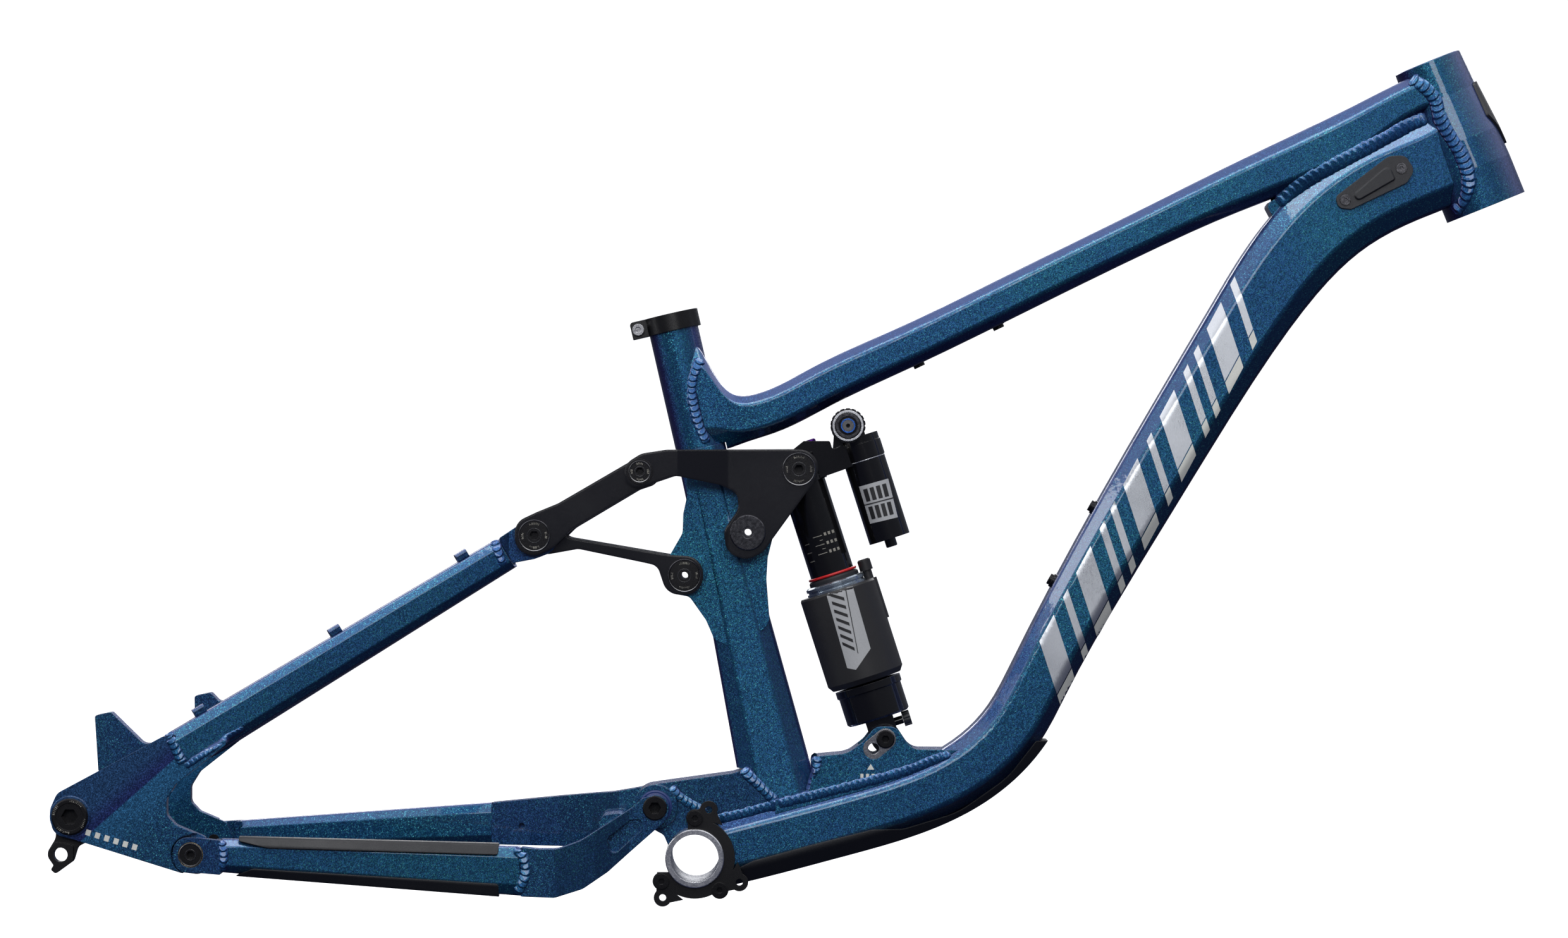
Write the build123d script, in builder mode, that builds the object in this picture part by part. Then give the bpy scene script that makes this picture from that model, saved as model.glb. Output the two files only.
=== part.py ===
"""Full-suspension mountain bicycle frame with rear shock, at real size in millimetres.

Axes: +X forward, +Y to the bicycle's left, +Z up. Origin: centre of the bottom bracket shell.
The drive side (right side of the bicycle) is at negative Y.
"""
from math import cos, radians, sin
import os

from build123d import *

os.makedirs("parts", exist_ok=True)

# ---------------------------------------------------------------- driving dimensions
# Pivots of the rear suspension, side view (x, z)
MAIN = (-28.5, 36.5)      # chainstay on the front triangle
HORST = (-357.0, 6.3)     # seatstay on the chainstay
LINK = (-7.5, 203.5)      # lower link on the seat mast
ROCK = (38.2, 234.5)      # rocker on the seat mast
DOG = (-39.0, 278.5)      # upper dogbone end, on the rocker
STAY = (-115.0, 232.5)    # seatstay, lower link and lower dogbone end
SHOCK_TOP = (75.1, 280.2)     # trunnion of the shock, on the rocker
SHOCK_BASE = (137.5, 85.5)    # lower shock bolt, on the front triangle
AXLE = (-442.5, 33.5)     # rear wheel axle

# Bottom bracket, BSA threaded
BB_WIDTH = 73.0
BB_OUTER_R = 21.2
BB_BORE_R = 17.2
ISCG_CIRCLE_R = 36.5
ISCG_HOLE_R = 2.5

# Head tube, ZS44 over ZS56 headset
HEAD_TOP = (531.0, 575.3)
HEAD_LENGTH = 113.5
HEAD_TILT = 22.0          # degrees back from vertical
HEAD_TOP_R = 24.8
HEAD_LOW_R = 30.1
HEADSET_TOP_R = 22.0
HEADSET_LOW_R = 28.0
HEADSET_DEPTH = 14.0

# Seat tube
SEAT_TOP = (-18.2, 391.7)
SEAT_TILT = 12.9          # degrees back from vertical
SEAT_R = 17.95
SEATPOST_R = 15.8
SEAT_TUBE_LENGTH = 98.6
BORE_END = 140.6          # depth of the seatpost bore below the seat tube's top

# Lateral stack of the suspension: distances from the centre plane
LUG_HALF = 17.7           # seat mast at the lower link
LINK_IN, LINK_OUT = 18.0, 26.0
EYE_IN, EYE_OUT = 26.4, 35.6
DOG_IN, DOG_OUT = 36.0, 43.0
ROCK_IN, ROCK_OUT = 27.3, 35.5
HORN_IN, HORN_OUT = 43.4, 50.5
TRUNNION_HALF = 27.0
HOUSING_HALF = 24.0
ARM_IN, ARM_OUT = 24.6, 37.0
DROPOUT_IN, DROPOUT_OUT = 76.0, 88.0
HORST_SPLIT = 80.6        # inner tongue of the dropout ends here, the chainstay eye starts 0.3 further
RUN_GAP = 0.05            # radial running clearance of a pin in its bearing

# Shock, measured along its axis from the trunnion
SHOCK_LENGTH = 204.5
BODY_R = 16.0
CAN_R = 28.3
CAN_TOP, CAN_END = 91.3, 158.7
LOWER_CAN_END = 189.6

WALL = 2.2                # tube wall


# ---------------------------------------------------------------- helpers
def side(y):
    """Sketch plane parallel to the bicycle's side at Y = y; extrusion runs towards -Y."""
    return Plane.XZ.offset(-y)


def outline(y, corners):
    """Closed side-view outline at Y = y through corners (x, z, corner radius)."""
    with BuildSketch(side(y)) as profile:
        with BuildLine():
            FilletPolyline(
                *[(x, z) for x, z, _ in corners],
                radius=[radius for _, _, radius in corners],
                close=True,
            )
        make_face()
    return profile.sketch


def plan(corners, height):
    """Closed plan-view outline (x, y) on a level plane."""
    with BuildSketch(Plane.XY.offset(height)) as profile:
        with BuildLine():
            Polyline(*corners, close=True)
        make_face()
    return profile.sketch


def mirrored(corners):
    """Plan corners moved to the other side of the centre plane."""
    return [(x, -y) for x, y in corners]


def bar(point, radius, y_from, y_to, mode=Mode.ADD):
    """Round bar parallel to Y through a side-view point."""
    middle = (point[0], (y_from + y_to) / 2, point[1])
    with Locations(Plane(origin=middle, x_dir=(1, 0, 0), z_dir=(0, -1, 0))):
        Cylinder(radius, abs(y_to - y_from), mode=mode)


def hex_socket(point, across, y_from, y_to):
    """Hexagonal recess parallel to Y."""
    with BuildSketch(side(max(y_from, y_to))) as socket:
        with Locations(point):
            RegularPolygon(across / 2, 6, major_radius=False)
    extrude(socket.sketch, amount=abs(y_to - y_from), mode=Mode.SUBTRACT)


def rod(plane, radius, start, end, mode=Mode.ADD):
    """Round rod along a plane's normal, from start to end."""
    with Locations(plane.offset((start + end) / 2)):
        Cylinder(radius, end - start, mode=mode)


def turned(plane, corners, mode=Mode.ADD):
    """Body of revolution about a plane's local Y; corners are (radius, distance)."""
    with BuildSketch(plane) as profile:
        with BuildLine():
            Polyline(*corners, close=True)
        make_face()
    revolve(profile.sketch, axis=Axis(plane.origin, plane.y_dir), mode=mode)


def eight_sided(plane, half_width, half_height, bevel, radius):
    """Hydroformed tube section: a rectangle with bevelled and rounded corners."""
    w, h = half_width, half_height
    side_bevel, end_bevel = bevel
    with BuildSketch(plane) as section:
        with BuildLine():
            FilletPolyline(
                (w, end_bevel - h),
                (w, h - end_bevel),
                (w - side_bevel, h),
                (side_bevel - w, h),
                (-w, h - end_bevel),
                (-w, end_bevel - h),
                (side_bevel - w, -h),
                (w - side_bevel, -h),
                radius=radius,
                close=True,
            )
        make_face()
    return section.sketch


def across(x, z, angle):
    """Plane across a tube in the centre plane that climbs at angle; local Y points up."""
    tangent = (cos(radians(angle)), 0, sin(radians(angle)))
    return Plane(origin=(x, 0, z), x_dir=(0, 1, 0), z_dir=tangent)


def hydroformed(stations, grow=0.0):
    """Sections of a tube; stations are (x, z, angle, half width, half height)."""
    sections = []
    for x, z, angle, half_width, half_height in stations:
        w, h = half_width + grow, half_height + grow
        bevel = (w * 0.34, h * 0.42)
        sections.append(eight_sided(across(x, z, angle), w, h, bevel, w * 0.2))
    return sections


# ---------------------------------------------------------------- reference planes
head_down = (sin(radians(HEAD_TILT)), 0, -cos(radians(HEAD_TILT)))
head_front = (cos(radians(HEAD_TILT)), 0, sin(radians(HEAD_TILT)))
head_origin = (HEAD_TOP[0], 0, HEAD_TOP[1])
head_side = Plane(origin=head_origin, x_dir=head_front, z_dir=(0, 1, 0))

seat_down = (sin(radians(SEAT_TILT)), 0, -cos(radians(SEAT_TILT)))
seat_origin = (SEAT_TOP[0], 0, SEAT_TOP[1])
seat_axis = Plane(origin=seat_origin, x_dir=(0, 1, 0), z_dir=seat_down)
seat_side = Plane(
    origin=seat_origin,
    x_dir=(cos(radians(SEAT_TILT)), 0, sin(radians(SEAT_TILT))),
    z_dir=(0, 1, 0),
)

shock_down = Vector(
    (SHOCK_BASE[0] - SHOCK_TOP[0]) / SHOCK_LENGTH, 0, (SHOCK_BASE[1] - SHOCK_TOP[1]) / SHOCK_LENGTH
)
shock_front = Vector(-shock_down.Z, 0, shock_down.X)
shock_origin = (SHOCK_TOP[0], 0, SHOCK_TOP[1])
shock_side = Plane(origin=shock_origin, x_dir=shock_front, z_dir=(0, 1, 0))
shock_axis = Plane(origin=shock_origin, x_dir=shock_front, z_dir=shock_down)

# Outer surface of the head tube: radius grows towards the lower cup
head_profile = [
    (0, 0),
    (HEAD_TOP_R, 0),
    (HEAD_TOP_R + 1.4, 28),
    (HEAD_LOW_R - 0.8, 62),
    (HEAD_LOW_R, 84),
    (HEAD_LOW_R, HEAD_LENGTH),
    (0, HEAD_LENGTH),
]

# Plane of the long weld between top tube and down tube behind the head tube
SEAM_START = (423.0, 477.5)
SEAM_ANGLE = 28.5
seam = Plane(
    origin=(SEAM_START[0], 0, SEAM_START[1]),
    x_dir=(0, 1, 0),
    z_dir=(-sin(radians(SEAM_ANGLE)), 0, cos(radians(SEAM_ANGLE))),
)

# Tube stations: x, z, climb angle, half width, half height
top_stations = [
    (2.0, 332.0, 12.7, 17.4, 39.0),
    (18.5, 326.0, 16.0, 18.0, 31.0),
    (34.0, 318.0, 22.0, 19.0, 18.2),
    (50.0, 320.4, 25.6, 20.0, 15.7),
    (90.0, 339.4, 25.6, 21.0, 15.4),
    (150.0, 367.5, 25.6, 21.5, 15.1),
    (240.0, 411.1, 25.6, 22.0, 14.9),
    (330.0, 455.1, 25.6, 22.5, 15.1),
    (380.0, 478.8, 25.4, 23.0, 16.3),
    (430.0, 500.6, 25.4, 23.0, 18.4),
    (480.0, 525.0, 25.4, 23.0, 18.0),
    (545.0, 556.0, 25.4, 22.5, 17.5),
]
down_stations = [
    (4.0, 1.0, 14.0, 27.0, 22.0),
    (60.0, 15.0, 15.0, 27.0, 22.5),
    (105.0, 27.0, 15.5, 27.0, 22.5),
    (150.3, 40.4, 20.0, 27.0, 22.5),
    (192.2, 59.7, 34.0, 27.0, 22.5),
    (228.6, 92.4, 51.0, 27.0, 22.5),
    (249.2, 129.0, 60.0, 27.0, 22.3),
    (280.9, 188.4, 60.2, 26.5, 23.4),
    (338.5, 287.3, 59.6, 26.0, 25.5),
    (398.5, 385.1, 57.0, 25.5, 27.7),
    (430.0, 430.4, 49.0, 25.5, 30.4),
    (464.5, 465.5, 36.5, 25.0, 32.5),
    (508.0, 491.0, 27.5, 24.5, 34.0),
    (552.0, 512.5, 25.5, 24.0, 35.0),
]

COVER_SCREWS = ((468.8, 474.3), (509.3, 497.0))     # screws of the cable entry, side view
SCREW_R = 2.0

# ---------------------------------------------------------------- front triangle
with BuildPart() as head_tube:
    turned(head_side, head_profile)
    rod(Plane(origin=head_origin, x_dir=(0, 1, 0), z_dir=head_down), 20.5, 0, HEAD_LENGTH, Mode.SUBTRACT)
    rod(Plane(origin=head_origin, x_dir=(0, 1, 0), z_dir=head_down), HEADSET_TOP_R, 0,
        HEADSET_DEPTH, Mode.SUBTRACT)
    rod(Plane(origin=head_origin, x_dir=(0, 1, 0), z_dir=head_down), HEADSET_LOW_R,
        HEAD_LENGTH - HEADSET_DEPTH, HEAD_LENGTH, Mode.SUBTRACT)
    rim = head_tube.edges().filter_by(GeomType.CIRCLE).filter_by(lambda edge: edge.radius > HEADSET_TOP_R)
    chamfer(rim.sort_by(Axis.Z)[-1], 0.4)
head_tube.part.label = "head_tube"

with BuildPart() as bb_shell:
    bar((0, 0), BB_OUTER_R, -BB_WIDTH / 2, BB_WIDTH / 2)
    bar((0, 0), BB_BORE_R, -BB_WIDTH / 2, BB_WIDTH / 2, Mode.SUBTRACT)
    chamfer(bb_shell.edges().filter_by(GeomType.CIRCLE).filter_by(lambda edge: edge.radius > BB_BORE_R), 0.6)
bb_shell.part.label = "bb_shell"

with BuildPart() as seat_tube:
    rod(seat_axis, SEAT_R, 0, SEAT_TUBE_LENGTH)
    rod(seat_axis, SEATPOST_R, 0, SEAT_TUBE_LENGTH, Mode.SUBTRACT)
    with Locations(seat_side.location * Location((-SEAT_R, 14, 0))):
        Box(8, 30, 1.6, mode=Mode.SUBTRACT)
seat_tube.part.label = "seat_tube"

with BuildPart() as head_blank:
    turned(head_side, head_profile)

with BuildPart() as down_tube_blank:
    loft(hydroformed(down_stations))

with BuildPart() as down_tube_bore:
    loft(hydroformed(down_stations, grow=-WALL))

# Web that closes the sharp corner where the two tubes meet
throat = [(418, 462, 2), (413.5, 470.5, 3), (422, 482, 1), (446, 490, 1), (446, 466, 1), (426, 456, 1)]
THROAT_HALF = 15.0
with BuildPart() as down_tube:
    add(down_tube_blank.part)
    extrude(outline(THROAT_HALF, throat), amount=2 * THROAT_HALF)
    add(down_tube_bore.part, mode=Mode.SUBTRACT)
    split(bisect_by=seam, keep=Keep.BOTTOM)
    add(head_blank.part, mode=Mode.SUBTRACT)
    bar((0, 0), BB_OUTER_R, -60, 60, Mode.SUBTRACT)
    for point in COVER_SCREWS:
        bar(point, SCREW_R, -30, -20, Mode.SUBTRACT)
down_tube.part.label = "down_tube"

with BuildPart() as top_tube_bore:
    loft(hydroformed(top_stations, grow=-WALL))

with BuildPart() as top_tube:
    loft(hydroformed(top_stations))
    add(top_tube_bore.part, mode=Mode.SUBTRACT)
    split(bisect_by=seam, keep=Keep.TOP)
    add(head_blank.part, mode=Mode.SUBTRACT)
    rod(seat_axis, SEAT_R, -20, 180, Mode.SUBTRACT)
    with Locations(seat_axis.offset(SEAT_TUBE_LENGTH + 26)):
        Box(37.6, 37.6, 52.2, mode=Mode.SUBTRACT)
    with BuildSketch(side(40)) as rear_offcut:
        with BuildLine():
            Polyline((-60, 420), (-23.2, 420), (14.6, 252), (-60, 252), close=True)
        make_face()
    extrude(rear_offcut.sketch, amount=80, mode=Mode.SUBTRACT)
top_tube.part.label = "top_tube"

# Seat mast: faceted column round the seatpost bore, with lugs for the lower link and the rocker
mast_lug = [
    (-6.5, 284, 3),
    (-5.5, 262, 8),
    (-8.5, 248, 8),
    (-9, 234, 8),
    (-20.5, 214, 9),
    (-21, 199, 9),
    (-15, 190, 6),
    (-4, 188, 6),
    (8, 171, 12),
    (14, 157, 6),
    (30, 150, 4),
    (54, 168, 10),
    (51.5, 200, 30),
    (52.5, 216, 4),
    (57, 234, 10),
    (50, 254, 10),
    (26, 284, 3),
]
# Distance below the seat tube's top, half length, half width
MAST_STATIONS = ((98.2, 18.1, 18.0), (180, 19.6, 18.4), (250, 22.4, 19.0), (363, 27.4, 22.0))
with BuildPart() as seat_mast:
    mast_sections = []
    for distance, half_x, half_y in MAST_STATIONS:
        bevel = (half_y * 0.4, half_x * 0.5)
        mast_sections.append(eight_sided(seat_axis.offset(distance), half_y, half_x, bevel, 5))
    loft(mast_sections)
    extrude(outline(LUG_HALF, mast_lug), amount=2 * LUG_HALF)
    bar(ROCK, 15.5, -TRUNNION_HALF, TRUNNION_HALF)
    rod(seat_axis, SEATPOST_R, 85, BORE_END, Mode.SUBTRACT)
    rod(seat_axis, 14.0, 191, 325, Mode.SUBTRACT)
    bar(LINK, 9.0, -LUG_HALF, LUG_HALF, Mode.SUBTRACT)
    bar(ROCK, 9.0, -TRUNNION_HALF, TRUNNION_HALF, Mode.SUBTRACT)
    with Locations(seat_axis.offset(SEAT_TUBE_LENGTH / 2)):
        Box(80, 90, SEAT_TUBE_LENGTH, mode=Mode.SUBTRACT)
    with BuildSketch(side(40)) as foot_cut:
        with BuildLine():
            Polyline((20, 65.5), (36, 63.5), (57, 42), (82, 46), (88, 73), (110, 60), (110, 0), (0, 0),
                     close=True)
        make_face()
    extrude(foot_cut.sketch, amount=80, mode=Mode.SUBTRACT)
    add(down_tube_blank.part, mode=Mode.SUBTRACT)
seat_mast.part.label = "seat_mast"

# Forging behind and above the bottom bracket; it carries the main pivot
housing_corners = [
    (-19.5, 9, 3),
    (-22.5, 16, 5),
    (-37, 24, 6),
    (-44, 33, 8),
    (-40, 50, 10),
    (-26, 53.2, 6),
    (27, 60.5, 4),
    (36, 63.5, 1),
    (57, 42, 1),
    (60, 20, 1),
    (20, 0, 1),
    (-10, 0, 1),
]
with BuildPart() as pivot_housing:
    bar(MAIN, 16.0, -HOUSING_HALF, HOUSING_HALF)
    extrude(outline(21, housing_corners), amount=42)
    bar(MAIN, 12.0, -HOUSING_HALF, -HOUSING_HALF + 8, Mode.SUBTRACT)
    bar(MAIN, 12.0, HOUSING_HALF - 8, HOUSING_HALF, Mode.SUBTRACT)
    bar(MAIN, 9.0, -HOUSING_HALF, HOUSING_HALF, Mode.SUBTRACT)
    bar((0, 0), BB_OUTER_R, -60, 60, Mode.SUBTRACT)
    add(down_tube_blank.part, mode=Mode.SUBTRACT)
pivot_housing.part.label = "pivot_housing"

# Gusset on the down tube with the two ears for the lower end of the shock
gusset_corners = [
    (58, 41.5, 1),
    (82, 46, 1),
    (88, 73, 2),
    (110, 75, 20),
    (122, 84, 14),
    (130, 94.5, 9),
    (145, 94.5, 9),
    (156, 78, 12),
    (196, 77.5, 1),
    (196, 60, 1),
    (120, 20, 1),
    (58, 10, 1),
]
EAR_IN, EAR_OUT = 15.2, 24.0
CHIP_SPARE = (129.0, 78.5)      # second hole of the geometry chip
CHIP_R = 7.5
with BuildPart() as shock_mount:
    extrude(outline(EAR_OUT, gusset_corners), amount=2 * EAR_OUT)
    slot_corners = [(112, 110, 1), (120, 72, 6), (137, 67, 14), (156, 72, 6), (162, 110, 1)]
    extrude(outline(EAR_IN, slot_corners), amount=2 * EAR_IN, mode=Mode.SUBTRACT)
    add(down_tube_blank.part, mode=Mode.SUBTRACT)
    add(seat_mast.part, mode=Mode.SUBTRACT)
    for y_from in (-EAR_OUT, EAR_IN):
        with BuildSketch(side(y_from + EAR_OUT - EAR_IN)) as chip_pocket:
            with Locations(((SHOCK_BASE[0] + CHIP_SPARE[0]) / 2, (SHOCK_BASE[1] + CHIP_SPARE[1]) / 2)):
                SlotCenterToCenter(11.0, 2 * CHIP_R, rotation=39.5)
        extrude(chip_pocket.sketch, amount=EAR_OUT - EAR_IN, mode=Mode.SUBTRACT)
shock_mount.part.label = "shock_mount"

with BuildPart() as flip_chips:
    for y_from in (-EAR_OUT, EAR_IN):
        with BuildSketch(side(y_from + EAR_OUT - EAR_IN)) as chip:
            with Locations(((SHOCK_BASE[0] + CHIP_SPARE[0]) / 2, (SHOCK_BASE[1] + CHIP_SPARE[1]) / 2)):
                SlotCenterToCenter(11.0, 2 * CHIP_R, rotation=39.5)
            with Locations(SHOCK_BASE):
                Circle(5.0, mode=Mode.SUBTRACT)
            with Locations(CHIP_SPARE):
                Circle(4.0, mode=Mode.SUBTRACT)
        extrude(chip.sketch, amount=EAR_OUT - EAR_IN)
flip_chips.part.label = "flip_chips"

with BuildPart() as shock_bolt:
    bar(SHOCK_BASE, 5.0, -EAR_OUT, EAR_OUT)
    bar(SHOCK_BASE, 6.6, -EAR_OUT - 3.2, -EAR_OUT)
    bar(SHOCK_BASE, 6.6, EAR_OUT, EAR_OUT + 3.0)
    chamfer(shock_bolt.edges().filter_by(GeomType.CIRCLE).sort_by(Axis.Y)[0], 0.8)
    hex_socket(SHOCK_BASE, 5.0, -EAR_OUT - 3.2, -EAR_OUT + 2)
shock_bolt.part.label = "shock_bolt"

with BuildPart() as main_pivot_bearings:
    for y_from in (-HOUSING_HALF, HOUSING_HALF - 8):
        bar(MAIN, 12.0, y_from, y_from + 8)
        bar(MAIN, 6.0 + RUN_GAP, y_from, y_from + 8, Mode.SUBTRACT)
main_pivot_bearings.part.label = "main_pivot_bearings"

# Bearings of the lower link and of the rocker, pressed into the mast's lugs
BEARING_R = 9.0
BEARING_WIDTH = 8.0
PIVOT_R = 6.0
with BuildPart() as mast_bearings:
    for pivot, half in ((LINK, LUG_HALF), (ROCK, TRUNNION_HALF)):
        for sign in (-1, 1):
            bar(pivot, BEARING_R, sign * (half - BEARING_WIDTH), sign * half)
        bar(pivot, PIVOT_R + RUN_GAP, -half, half, Mode.SUBTRACT)
mast_bearings.part.label = "mast_bearings"

# Chain guide plate with three lobes round the drive side of the shell
ISCG_HOLES = [
    (ISCG_CIRCLE_R * cos(radians(angle)), ISCG_CIRCLE_R * sin(radians(angle)))
    for angle in (73.8, -28.2, -129.2)
]
PLATE_R = 29.0
LOBE_R = 6.4
PLATE_BOLTS = [
    (PLATE_R * cos(radians(angle)), PLATE_R * sin(radians(angle))) for angle in (89.4, -51.7, -145.5)
]
with BuildPart() as iscg_plate:
    with BuildSketch(side(-29)) as plate_shape:
        Circle(PLATE_R)
        with BuildLine():
            Polyline((-5, 0), (-5, 32), (-40, 32), (-40, -10), (-10, -10), (-10, 0), close=True)
        make_face(mode=Mode.SUBTRACT)
        with Locations(*ISCG_HOLES, *PLATE_BOLTS):
            Circle(LOBE_R)
        for hole in ISCG_HOLES:
            reach = 1 - 8 / ISCG_CIRCLE_R
            with BuildLine():
                Polyline(
                    (hole[0] * reach - hole[1] * 0.34, hole[1] * reach + hole[0] * 0.34),
                    (hole[0] - hole[1] * 0.16, hole[1] + hole[0] * 0.16),
                    (hole[0] + hole[1] * 0.16, hole[1] - hole[0] * 0.16),
                    (hole[0] * reach + hole[1] * 0.34, hole[1] * reach - hole[0] * 0.34),
                    close=True,
                )
            make_face()
        Circle(BB_OUTER_R, mode=Mode.SUBTRACT)
        with Locations(*ISCG_HOLES, *PLATE_BOLTS):
            Circle(ISCG_HOLE_R, mode=Mode.SUBTRACT)
    extrude(plate_shape.sketch, amount=5)
iscg_plate.part.label = "iscg_plate"

with BuildPart() as iscg_bolts:
    for point in PLATE_BOLTS:
        bar(point, ISCG_HOLE_R, -34, -29)
        bar(point, 5.5, -36.6, -34)
        hex_socket(point, 4.0, -36.6, -34.5)
iscg_bolts.part.label = "iscg_bolts"

with BuildPart() as seat_clamp:
    rod(seat_axis, 20.2, -1, 11.5)
    with Locations(seat_side.location * Location((-23.5, 5.25, 0))):
        Box(13, 12.5, 18)
    rod(seat_axis, SEAT_R, -1, 11.5, Mode.SUBTRACT)
    with Locations(seat_side.location * Location((-24, 5.25, 0))):
        Box(14, 12.5, 2.4, mode=Mode.SUBTRACT)
    clamp_screw = (SEAT_TOP[0] - 24.8 * cos(radians(SEAT_TILT)) + 5.25 * sin(radians(SEAT_TILT)),
                   SEAT_TOP[1] - 24.8 * sin(radians(SEAT_TILT)) - 5.25 * cos(radians(SEAT_TILT)))
    bar(clamp_screw, 2.6, -9, 9, Mode.SUBTRACT)
    fillet(seat_clamp.edges().filter_by(Axis.Y).sort_by(Axis.X)[:2], 2.5)
seat_clamp.part.label = "seat_clamp"

with BuildPart() as seat_clamp_bolt:
    bar(clamp_screw, 2.6, -9, 9)
    bar(clamp_screw, 4.2, -13, -9)
    bar(clamp_screw, 4.2, 9, 11)
    hex_socket(clamp_screw, 4.0, -13, -10.5)
seat_clamp_bolt.part.label = "seat_clamp_bolt"

# Rubber guard bonded under the lower bend of the down tube
guard_corners = [
    (24, -60, 1),
    (26, -10, 2),
    (42, -2, 6),
    (90, 11, 60),
    (128, 20.5, 12),
    (150, 20.5, 25),
    (190, 32.5, 60),
    (226, 58, 60),
    (246, 84, 1),
    (262, 84, 1),
    (262, -60, 1),
]
GUARD_THICKNESS = 4.0
with BuildPart() as down_tube_guard:
    loft(hydroformed(down_stations[:8], grow=GUARD_THICKNESS))
    extrude(outline(60, guard_corners), amount=120, mode=Mode.INTERSECT)
    add(down_tube_blank.part, mode=Mode.SUBTRACT)
    add(iscg_plate.part, mode=Mode.SUBTRACT)
    for solid in down_tube_guard.solids().sort_by(SortBy.VOLUME)[:-1]:
        add(solid, mode=Mode.SUBTRACT)
down_tube_guard.part.label = "down_tube_guard"

# Cable entry on the drive side of the down tube, held by two screws
with BuildPart() as cable_port_cover:
    cover_corners = [
        (461.5, 476.5, 5),
        (500, 505.8, 8),
        (512, 506.5, 7),
        (519, 495.5, 7),
        (513, 486.5, 6),
        (473, 467.5, 6),
        (464, 468.5, 5),
    ]
    extrude(outline(-24.2, cover_corners), amount=3.6)
    ridge_corners = [(474, 478, 3), (500, 500, 4), (505, 489, 2), (478, 473.5, 3)]
    extrude(outline(-27.8, ridge_corners), amount=1.6)
    chamfer(cable_port_cover.faces().sort_by(Axis.Y)[0].edges(), 0.8)
    for point in COVER_SCREWS:
        bar(point, 3.9, -29, -26.2, Mode.SUBTRACT)
        bar(point, SCREW_R, -30, -24, Mode.SUBTRACT)
    add(down_tube.part, mode=Mode.SUBTRACT)
cable_port_cover.part.label = "cable_port_cover"

with BuildPart() as cover_screws:
    for point in COVER_SCREWS:
        bar(point, SCREW_R, -26.2, -20.5)
        bar(point, 3.9, -28.4, -26.2)
        hex_socket(point, 2.5, -28.4, -27.0)
cover_screws.part.label = "cover_screws"

# Rivet nuts with domed screws: two on the down tube, two under the top tube, 64 mm apart
BOSSES = [
    ((260.3, 198.8), 150.0, (289.9, 252.0)),
    ((161.0, 358.3), -64.4, (218.5, 386.0)),
]
with BuildPart() as bottle_bosses:
    for first, direction, second in BOSSES:
        outward = (cos(radians(direction)), 0, sin(radians(direction)))
        for x, z in (first, second):
            boss = Plane(origin=(x, 0, z), x_dir=(0, 1, 0), z_dir=outward)
            rod(boss, 5.2, -1.0, 2.2)
            rod(boss, 4.2, 2.2, 4.4)
            with BuildSketch(boss.offset(3.0)) as key:
                RegularPolygon(2.0, 6, major_radius=False)
            extrude(key.sketch, amount=2, mode=Mode.SUBTRACT)
    add(down_tube_blank.part, mode=Mode.SUBTRACT)
    add(top_tube.part, mode=Mode.SUBTRACT)
bottle_bosses.part.label = "bottle_bosses"

BADGE_THICKNESS = 1.8
with BuildPart() as head_badge:
    turned(head_side, [(radius + BADGE_THICKNESS if radius else 0, along) for radius, along in head_profile])
    badge_plane = Plane(origin=head_side.origin, x_dir=(0, 1, 0), z_dir=head_side.x_dir)
    with BuildSketch(badge_plane) as shield:
        with BuildLine():
            FilletPolyline((-13, -26), (13, -26), (17, -52), (0, -78), (-17, -52), radius=3, close=True)
        make_face()
    extrude(shield.sketch, amount=60, mode=Mode.INTERSECT)
    add(head_blank.part, mode=Mode.SUBTRACT)
head_badge.part.label = "head_badge"

# ---------------------------------------------------------------- chainstay
right_arm = [
    (-125, 9.5, 2),
    (-112, 8, 15),
    (-98, 8, 15),
    (-82, 13.5, 20),
    (-45, 36.5, 15),
    (-37.5, 43.5, 6),
    (-24, 47, 8),
    (-18, 38, 8),
    (-20, 28, 8),
    (-40, 10.5, 10),
    (-62, -9, 15),
    (-80, -21, 12),
    (-100, -27, 12),
    (-125, -26, 2),
]
left_arm = [
    (-150, 35.8, 2),
    (-60, 44.5, 20),
    (-34, 49.3, 10),
    (-16, 47, 10),
    (-16, 28, 8),
    (-32, 20, 10),
    (-62, 13, 20),
    (-96, 4, 20),
    (-150, 5.2, 2),
]
arm_plan = [
    (-152, -39.5),
    (-100, -39.5),
    (-76, -34.5),
    (-56, -ARM_IN),
    (0, -ARM_IN),
    (0, -ARM_OUT),
    (-47, -ARM_OUT),
    (-72, -46.5),
    (-100, -53.5),
    (-152, -53.5),
]
bridge = [(-70, 8, 5), (-68, 31, 6), (-50, 33, 5), (-49, 12, 5)]
with BuildPart() as right_arm_blank:
    extrude(outline(-ARM_IN, right_arm), amount=32)
    extrude(plan(arm_plan, -40), amount=100, mode=Mode.INTERSECT)
    bar(MAIN, 13.2, -ARM_IN - 1.6, -ARM_IN, Mode.SUBTRACT)
    pocket = [(-63, 15, 4), (-60, 1, 4), (-37.5, 21, 3), (-38, 28.5, 3), (-46, 28, 3)]
    extrude(outline(-34.5, pocket), amount=22, mode=Mode.SUBTRACT)
with BuildPart() as left_arm_blank:
    extrude(outline(ARM_IN + 32, left_arm), amount=32)
    extrude(plan(mirrored(arm_plan), -40), amount=100, mode=Mode.INTERSECT)
with BuildPart() as yoke_bridge:
    extrude(outline(34, bridge), amount=68)
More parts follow.
